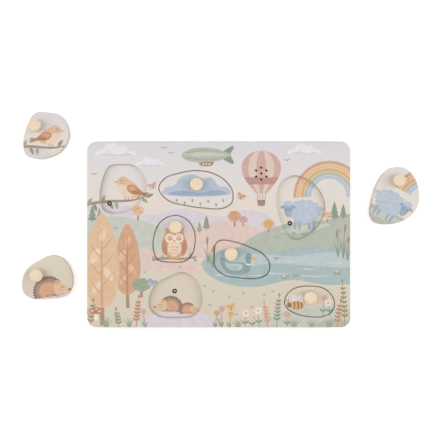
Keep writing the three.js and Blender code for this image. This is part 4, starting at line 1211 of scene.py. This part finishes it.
print("top edges smooth up to", SHARP_WALL, "degrees")

# %% Put a piece in its place
def show(name, mesh, body, slot, materials, *replaced, place=Matrix.Identity(4)):
    """A mesh as a piece: it rides on a body and may stand for CAD nodes. Its slot argument is not used."""
    piece = add_object(name, mesh)
    piece.matrix_world = place
    for material in materials:
        mesh.materials.append(material)
    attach(piece, body)
    if replaced:
        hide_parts(*replaced)


print("ready to place pieces")

# %% [markdown]
# ## Outlines from the frame
#
# The recess outlines are read off the CAD face panel, so they always fit: the edges that lie just under its
# sanded arris form one ring for each recess. CAD rings have corners, and a smooth curve through them rounds
# the facets away. The board's own outline is a rectangle with round corners, drawn from its box.

# %% Read the rings
LEVEL = 0.01          # mm, heights this close are one level


def rings_at(node, height):
    """The closed lines of a CAD node's edges at one height, in millimetres."""
    mesh = nodes[node].data
    spot = [tuple(round(c / MM, 3) for c in v.co) for v in mesh.vertices]
    flat_sides = Counter()
    for face in mesh.polygons:
        around = [spot[i] for i in face.vertices]
        level = [abs(z - height) < LEVEL for _, _, z in around]
        for i, pair in enumerate(zip(around, around[1:] + around[:1])):
            if pair[0] != pair[1] and level[i] and level[(i + 1) % len(level)]:
                flat_sides[tuple(sorted(pair))] += all(level)
    ways = {}
    for (a, b), count in flat_sides.items():
        if count < 2:  # an edge between two flat faces only lies inside the sheet
            ways.setdefault(a, set()).add(b)
            ways.setdefault(b, set()).add(a)
    rings = []
    while ways:
        ring = [min(ways)]
        while True:
            onward = sorted(ways.pop(ring[-1]) - set(ring[-2:]))
            onward = [p for p in onward if p in ways]
            if not onward:
                break
            ring.append(onward[0])
        rings.append(anticlockwise(np.array(ring)[:, :2]))
    return rings


print(len(rings_at("floor_panel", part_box("floor_panel")[1][2] / MM)), "rings on the floor panel")

# %% Recess outlines
CAD_EASE = 0.6        # mm, the face panel's arris in the frame
RING_STEPS = 3        # points of the smooth line for each corner of the CAD ring

board_low, board_high = (np.array(corner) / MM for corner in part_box("face_panel"))
FACE_LOW, FACE_TOP = board_low[2], board_high[2]
rings = rings_at("face_panel", FACE_TOP - CAD_EASE)
recess_line = {}
for name, middle in RECESS_MIDDLE.items():
    ring = min(rings, key=lambda line: np.linalg.norm((line.min(0) + line.max(0)) / 2 - middle))
    recess_line[name] = closed_curve(ring, RING_STEPS)
for name, line in recess_line.items():
    print("recess", name, np.ptp(line, axis=0).round(1).tolist(), "mm")

# %% [markdown]
# ## Board face
#
# The face panel is a sheet of plywood sawn out at the seven recesses and drilled for the sound. It is raised
# from the cut sheet in one go, walls and all.

# %% Board outline and sound holes
CORNER_RADIUS = 11    # mm
CORNER_STEPS = 14     # points in each round corner
SPEAKER_MIDDLE = (48.6, 69.43)   # mm from the board's middle
HOLE_DIAMETER = 2.6   # mm
HOLE_CIRCLE = 13.6    # mm, the circle on which six holes lie round the middle one


def board_outline():
    """The board's rectangle with its round corners."""
    quarter = np.radians(np.linspace(0, 90, CORNER_STEPS))
    reach = board_high[:2] - CORNER_RADIUS
    corners = []
    for turn, sign in ((0, (1, 1)), (90, (-1, 1)), (180, (-1, -1)), (270, (1, -1))):
        arc = CORNER_RADIUS * np.column_stack([np.cos(quarter), np.sin(quarter)])
        corners.append(turned(arc, turn) + reach * sign)
    return np.vstack(corners)


def sound_holes():
    """One hole in the middle and six round it."""
    middles = np.vstack([(0, 0), oval(0, 0, HOLE_CIRCLE, HOLE_CIRCLE, 90, 6)]) + SPEAKER_MIDDLE
    return [oval(*middle, HOLE_DIAMETER, HOLE_DIAMETER) for middle in middles]


print("board", np.ptp(board_outline(), axis=0).round(1).tolist(), "mm,", len(sound_holes()), "sound holes")

# %% Board face
openings = [(line, ARRIS, -1) for line in recess_line.values()]
openings += [(line, HOLE_ARRIS, -1) for line in sound_holes()]
rim = (board_outline(), ARRIS, 1)
face_mesh = printed_plate("board_face", rim, openings, whole_sheet, FACE_LOW, FACE_TOP)
show("board_face", face_mesh, "board", "printed_wood", [satin_print, poplar_ply], "face_panel")
print("board face of", len(face_mesh.polygons), "faces")

# %% [markdown]
# ## Recess floors
#
# Under the face panel lies a thin printed floor panel. Only what shows in the recesses is drawn, as a thin
# printed skin on the CAD panel with a hole for the light sensor.

# %% Recess floors
SENSOR_HOLE = 5.6     # mm across
SKIN = 0.06           # mm thick
SKIN_GAP = 0.1        # mm between the skin and the recess wall
FLOOR_LOW, FLOOR_TOP = (corner[2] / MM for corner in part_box("floor_panel"))


def middle_of(node):
    """The middle of a CAD node's box, in millimetres."""
    low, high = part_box(node)
    return (low + high) / 2 / MM


for name, line in recess_line.items():
    sensor_at = middle_of(f"light_sensor_{name}")[:2]
    rim = (drawn_in(line, SKIN_GAP), 0, 1)
    hole = (oval(*sensor_at, SENSOR_HOLE, SENSOR_HOLE), 0, -1)
    floor_mesh = printed_plate(f"floor_print_{name}", rim, [hole], whole_sheet, FLOOR_TOP, FLOOR_TOP + SKIN)
    show(f"floor_print_{name}", floor_mesh, "board", "printed_wood", [satin_print, poplar_ply])
print("recess floors at", round(FLOOR_TOP, 2), "mm")

# %% [markdown]
# ## Puzzle pieces
#
# Each piece is its recess outline drawn in by the fit, as thick as the face panel. It is made in its place in
# the board, so that the print runs on, and three of them are then laid beside the board as in the photograph.

# %% Puzzle pieces
PIECE_FIT = 0.9       # mm of room all round
LAID = {  # where a loose piece's middle lies, in mm, and its turn in degrees
    "upper_left": (-201.7, 114.5, -6), "lower_left": (-198.6, -52.3, 4), "right": (204.7, 42.9, -32),
}


def laid_out(name):
    """From a piece's place in the board to where it lies."""
    if name not in LAID:
        return Matrix.Identity(4)
    x, y, turn = LAID[name]
    home = Matrix.Translation(Vector((*RECESS_MIDDLE[name], FACE_LOW)) * MM)
    away = Matrix.Translation(Vector((x, y, 0)) * MM)
    return away @ Matrix.Rotation(math.radians(turn), 4, "Z") @ home.inverted()


for name, line in recess_line.items():
    rim = (drawn_in(line, PIECE_FIT), ARRIS, 1)
    piece_mesh = printed_plate(f"puzzle_piece_{name}", rim, [], piece_picture[name], FACE_LOW, FACE_TOP)
    piece_mesh.transform(laid_out(name))
    show(f"puzzle_piece_{name}", piece_mesh, f"piece_{name}_body", "printed_wood",
         [satin_print, poplar_ply], f"piece_{name}")
print(len(recess_line), "pieces,", len(LAID), "of them laid out")

# %% [markdown]
# ## Knobs
#
# A knob is turned on a lathe: a waist for small fingers and a broad flat head with a round edge. A spun
# profile is the same thing in a mesh. Its grain comes from its own coordinates, so each knob is turned by its
# own angle to show other rings.

# %% Turn a profile
SHARP_TURNED = 40     # degrees: an edge that bends more than this isn't shaded smooth


def lathe(name, profile, steps=48):
    """A mesh from a profile of radius and height, turned about Z."""
    build = bmesh.new()
    rounds = []
    angles = np.linspace(0, 2 * math.pi, steps, endpoint=False)
    for radius, height in profile:
        spots = [(radius * math.cos(a), radius * math.sin(a), height) for a in (angles if radius else [0])]
        rounds.append([build.verts.new(Vector(spot) * MM) for spot in spots])
    for low, high in zip(rounds, rounds[1:]):
        for i in range(steps):
            j = (i + 1) % steps
            around = [low[i % len(low)], low[j % len(low)], high[j % len(high)], high[i % len(high)]]
            build.faces.new(list(dict.fromkeys(around)))
    mesh = finished_mesh(name, build)
    mesh.polygons.foreach_set("use_smooth", [True] * len(mesh.polygons))
    mesh.set_sharp_from_angle(angle=math.radians(SHARP_TURNED))
    return mesh


print("turned edges smooth up to", SHARP_TURNED, "degrees")

# %% Knobs
KNOB_RADIUS = 7.5     # mm
KNOB_HEIGHT = 13      # mm
NECK_RADIUS = 5       # mm, where the knob stands on its piece
GRAIN_TURN = 70       # degrees from one knob to the next

waist = open_curve([(NECK_RADIUS, 0), (4.75, 2.6), (6.9, 6), (KNOB_RADIUS, 8.4), (KNOB_RADIUS, 10.4)], 5)
crown = open_curve([(KNOB_RADIUS, 10.4), (6.95, 12.2), (5.3, KNOB_HEIGHT)], 7)[1:]
knob_profile = [(0, 0), *waist, *crown, (2.6, KNOB_HEIGHT), (0, KNOB_HEIGHT)]

for i, name in enumerate(RECESS_MIDDLE):
    x, y, _ = middle_of(f"knob_{name}")
    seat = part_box(f"knob_{name}")[1][2] / MM - KNOB_HEIGHT
    place = Matrix.Translation(Vector((x, y, seat)) * MM)
    place @= Matrix.Rotation(math.radians(GRAIN_TURN * i), 4, "Z")
    show(f"turned_knob_{name}", lathe(f"turned_knob_{name}", knob_profile), f"piece_{name}_body", "beech",
         [turned_beech], f"knob_{name}", place=place)
print(len(RECESS_MIDDLE), "knobs of", len(knob_profile), "profile points")

# %% [markdown]
# ## Light sensors
#
# A sensor is a black sleeve pressed into the floor panel from below, with a funnel down to a small pale lens.
# The lens's pale colour is partly a painted highlight on its dome. Both are round, so the lathe that made the
# knobs turns them too, as two pieces because the lens is clear.

# %% Light sensors
SENSOR_RADIUS = 2.7   # mm, as all of these
FUNNEL_RADIUS = 2.2
LENS_RADIUS = 1.05
FUNNEL_DEPTH = 1.3
FLANGE_RADIUS = 3.5
SLEEVE_EASE = 0.15
SENSOR_FOOT, SENSOR_FACE = (corner[2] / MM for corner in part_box("light_sensor_right"))
FUNNEL_FLOOR = SENSOR_FACE - FUNNEL_DEPTH

sleeve_profile = [
    (0, SENSOR_FOOT), (FLANGE_RADIUS, SENSOR_FOOT), (FLANGE_RADIUS, FLOOR_LOW), (SENSOR_RADIUS, FLOOR_LOW),
    (SENSOR_RADIUS, SENSOR_FACE - SLEEVE_EASE), (SENSOR_RADIUS - SLEEVE_EASE, SENSOR_FACE),
    (FUNNEL_RADIUS, SENSOR_FACE), (LENS_RADIUS, FUNNEL_FLOOR), (0, FUNNEL_FLOOR),
]
lens_profile = [(0, 0.02), (LENS_RADIUS * 0.94, 0.02), (LENS_RADIUS * 0.9, 0.3), (LENS_RADIUS * 0.7, 0.6),
                (LENS_RADIUS * 0.38, 0.78), (0, 0.84)]
for name in RECESS_MIDDLE:
    x, y, _ = middle_of(f"light_sensor_{name}")
    sleeve = lathe(f"sensor_sleeve_{name}", sleeve_profile, 32)
    show(sleeve.name, sleeve, "board", "black_plastic", [finishes["moulded_abs"]], f"light_sensor_{name}",
         place=Matrix.Translation(Vector((x, y, 0)) * MM))
    # The lens's pale finish is partly a painted highlight on its dome.
    lens = lathe(f"sensor_lens_{name}", lens_profile, 24)
    show(lens.name, lens, "board", "white_plastic", [finishes["pale_epoxy_and_painted_glint"]],
         place=Matrix.Translation(Vector((x, y, FUNNEL_FLOOR)) * MM))
print(len(RECESS_MIDDLE), "sensors")

# %% [markdown]
# ## Back panel
#
# The back is a thin sheet of plywood with a window for the battery unit and a round hole for each screw. The
# CAD holes have few sides, so the sheet is cut anew with round ones. It is raised upside down, because the
# sanded edges belong to the outer side, and then turned over: for that, its lines are drawn mirrored.

# %% Back panel
SCREW_ROOM = 0.15     # mm round a screw's head
BACK_SCREWS = [f"back_screw_{i}" for i in range(1, 9)]
BACK_LOW, BACK_TOP = (corner[2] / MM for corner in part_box("back_panel"))

by_size = sorted(rings_at("back_panel", BACK_LOW), key=lambda line: np.ptp(line, axis=0).min())
window = by_size[-2]  # the largest ring is the panel's rim
openings = [(anticlockwise(window * (1, -1)), HOLE_ARRIS, -1)]
for node in BACK_SCREWS:
    low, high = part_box(node)
    bore = (high - low)[0] / MM + 2 * SCREW_ROOM
    x, y, _ = middle_of(node)
    openings.append((oval(x, -y, bore, bore, 0, 32), HOLE_ARRIS, -1))
back_mesh = printed_plate("back_sheet", (board_outline(), ARRIS, 1), openings, [], BACK_LOW, BACK_TOP)
turned_over = Matrix.Rotation(math.pi, 4, "X")
back_mesh.transform(Matrix.Translation((0, 0, (BACK_LOW + BACK_TOP) * MM)) @ turned_over)
show("back_sheet", back_mesh, "board", "bare_wood", [poplar_ply, poplar_ply], "back_panel")
print("back sheet, window", np.ptp(window, axis=0).round(1).tolist(), "mm,", len(BACK_SCREWS), "holes")

# %% [markdown]
# ## Screws
#
# Eight countersunk screws hold the back, and a smaller one holds the battery door. Each is a turned head and
# shank with a tapered cross, which a bit of the same shape cuts away. A modifier makes the cut, and only its
# result is kept.

# %% A bit for the cross
HEAD_EDGE = 0.12      # mm, the head's chamfer
CROSS_TAPER = 0.4     # the cross's size at its floor, as a share of its size at the face


def cross_bit(reach, width, depth):
    """A screwdriver's tapered cross that enters a head's face at height 0."""
    rows = []
    for height, share in ((-HEAD_EDGE, 1), (depth, CROSS_TAPER)):
        a, h = reach * share, width / 2 * share
        arm = [(h, h), (h, a), (-h, a)]
        edge = [spot for turn in (0, 90, 180, 270) for spot in turned(arm, turn)]
        rows.append([Vector((x, y, height)) * MM for x, y in edge])
    count = len(rows[0])
    walls = [(i, (i + 1) % count, (i + 1) % count + count, i + count) for i in range(count)]
    ends = [tuple(range(count))[::-1], tuple(range(count, 2 * count))]
    mesh = bpy.data.meshes.new("cross_bit")
    mesh.from_pydata(rows[0] + rows[1], [], walls + ends)
    return mesh


print("the cross narrows to", CROSS_TAPER, "of its size")

# %% A screw
SCREW_POINT = 1.2     # mm, the tapered end
SCREW_TIP = 0.3       # mm, the radius it tapers to
CROSS_REACH, CROSS_WIDTH, CROSS_DEPTH = 0.62, 0.26, 0.4   # as shares of the head's radius


def cross_screw(name, head, shank, length):
    """A countersunk screw with its face at height 0 and its point up."""
    profile = [(0, 0), (head - HEAD_EDGE, 0), (head, HEAD_EDGE), (shank, HEAD_EDGE + head - shank),
               (shank, length - SCREW_POINT), (SCREW_TIP, length), (0, length)]
    blank = add_object("screw_blank", lathe("screw_blank", profile, 24))
    bit = add_object("cross_bit", cross_bit(head * CROSS_REACH, head * CROSS_WIDTH, head * CROSS_DEPTH))
    cut = blank.modifiers.new("cross", "BOOLEAN")
    cut.object = bit
    mesh = bpy.data.meshes.new_from_object(blank.evaluated_get(bpy.context.evaluated_depsgraph_get()))
    mesh.name = name
    for helper in (blank, bit):
        bpy.data.objects.remove(helper)
    return mesh


print("cross", CROSS_DEPTH, "of the head's radius deep")

# %% Screws
SCREW_TURN = 37       # degrees from one screw to the next, since no two stop alike

screws = {node: ("board", 3, 1.5) for node in BACK_SCREWS}   # body, radius of head and of shank
screws["battery_door_screw"] = ("door", 2.5, 1.3)
for i, (node, (body, head, shank)) in enumerate(screws.items()):
    low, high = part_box(node)
    x, y, _ = middle_of(node)
    place = Matrix.Translation((x * MM, y * MM, low[2]))
    place @= Matrix.Rotation(math.radians(SCREW_TURN * i), 4, "Z")
    mesh = cross_screw(f"cross_{node}", head, shank, (high[2] - low[2]) / MM)
    show(f"cross_{node}", mesh, body, "steel", [finishes["zinc_plate"]], node, place=place)
print(len(screws), "screws")

# %% [markdown]
# ## Cells
#
# Two small round cells lie side by side under the battery door, each the other way round. A cell is a steel
# can in a sleeve of shrunk film, which wraps a little over both ends. Can and sleeve are turned apart, since
# one is metal and the other film. A dark ring printed on the sleeve marks the end with the nub, so those
# faces get a second finish.

# %% Can and film
CELL_RADIUS = 5.25    # mm, as all of these
CELL_LENGTH = 44.5
SHOULDER = 43.3       # from the flat end, where the nub begins
NUB_RADIUS = 1.9
NUB_EASE = 0.25
CAN_RADIUS = 4.2
DISH_RADIUS = 2.5     # the flat end is pressed in a little
DISH_DEPTH = 0.15
FILM_ROUND = 0.5      # the sleeve's round ends
FILM_DROP = 0.1       # from the can's ends to the film's
MARK_FROM, MARK_TO = 35.5, 38.5

can_profile = [
    (0, DISH_DEPTH), (DISH_RADIUS, DISH_DEPTH), (DISH_RADIUS + 2 * DISH_DEPTH, 0), (CAN_RADIUS, 0),
    (CAN_RADIUS, SHOULDER), (NUB_RADIUS + 2 * NUB_EASE, SHOULDER), (NUB_RADIUS, SHOULDER + 0.2),
    (NUB_RADIUS, CELL_LENGTH - NUB_EASE), (NUB_RADIUS - NUB_EASE, CELL_LENGTH), (0, CELL_LENGTH),
]
bend = []
for angle in np.radians([0, 30, 60, 90]):
    bend.append((CELL_RADIUS - FILM_ROUND * (1 - math.sin(angle)), FILM_ROUND * (1 - math.cos(angle))))
film_low, film_top = FILM_DROP, SHOULDER - FILM_DROP
film_profile = [(0, film_low), *((radius, film_low + rise) for radius, rise in bend),
                (CELL_RADIUS, MARK_FROM), (CELL_RADIUS, MARK_TO),
                *((radius, film_top - rise) for radius, rise in reversed(bend)), (0, film_top)]
print("film", round(film_top - film_low, 2), "mm long")

# %% Cells
NUB_TOWARDS = {"1": -1, "2": 1}   # each cell's nub, along Y

for i, towards in NUB_TOWARDS.items():
    x, y, z = middle_of(f"battery_cell_{i}")
    place = Matrix.Translation(Vector((x, y - towards * CELL_LENGTH / 2, z)) * MM)
    place @= Matrix.Rotation(-towards * math.pi / 2, 4, "X")
    show(f"cell_can_{i}", lathe(f"cell_can_{i}", can_profile), "board", "steel", [finishes["zinc_plate"]],
         f"battery_cell_{i}", place=place)
    film = lathe(f"cell_film_{i}", film_profile)
    for face in film.polygons:
        face.material_index = int(MARK_FROM * MM < face.center.z < MARK_TO * MM)
    show(f"cell_film_{i}", film, "board", "cell_jacket", [finishes["cell_jacket"], finishes["cell_mark"]],
         place=place)
print(len(NUB_TOWARDS), "cells", CELL_LENGTH, "mm long")

# %% [markdown]
# ## Carried-over solids
#
# The rails, the battery unit and the speaker already have their real shapes in the frame, so they keep them
# and only get their finishes.

# %% Finishes of the CAD nodes
WEARS = {
    poplar_ply: ["floor_panel"],
    basswood: ["top_rail", "bottom_rail", "left_rail", "right_rail"],
    finishes["moulded_abs"]: ["battery_housing", "battery_door", "switch_body"],
    finishes["acetal"]: ["switch_slider"],
    finishes["zinc_plate"]: ["housing_screw_1", "housing_screw_2", "circuit_screw_1", "circuit_screw_2",
                             "contact_spring", "contact_plate", "contact_bridge", "speaker_basket"],
    finishes["sintered_ferrite"]: ["speaker_magnet"],
    finishes["sponge_foam"]: ["speaker_gasket"],
    finishes["pressed_paper"]: ["speaker_cone"],
    finishes["solder_mask"]: ["circuit_board"],
    finishes["epoxy_blob"]: ["sound_chip"],
}
for material, names in WEARS.items():
    for name in names:
        for spot in nodes[name].material_slots:
            spot.material = material
print(sum(len(names) for names in WEARS.values()), "CAD nodes finished")
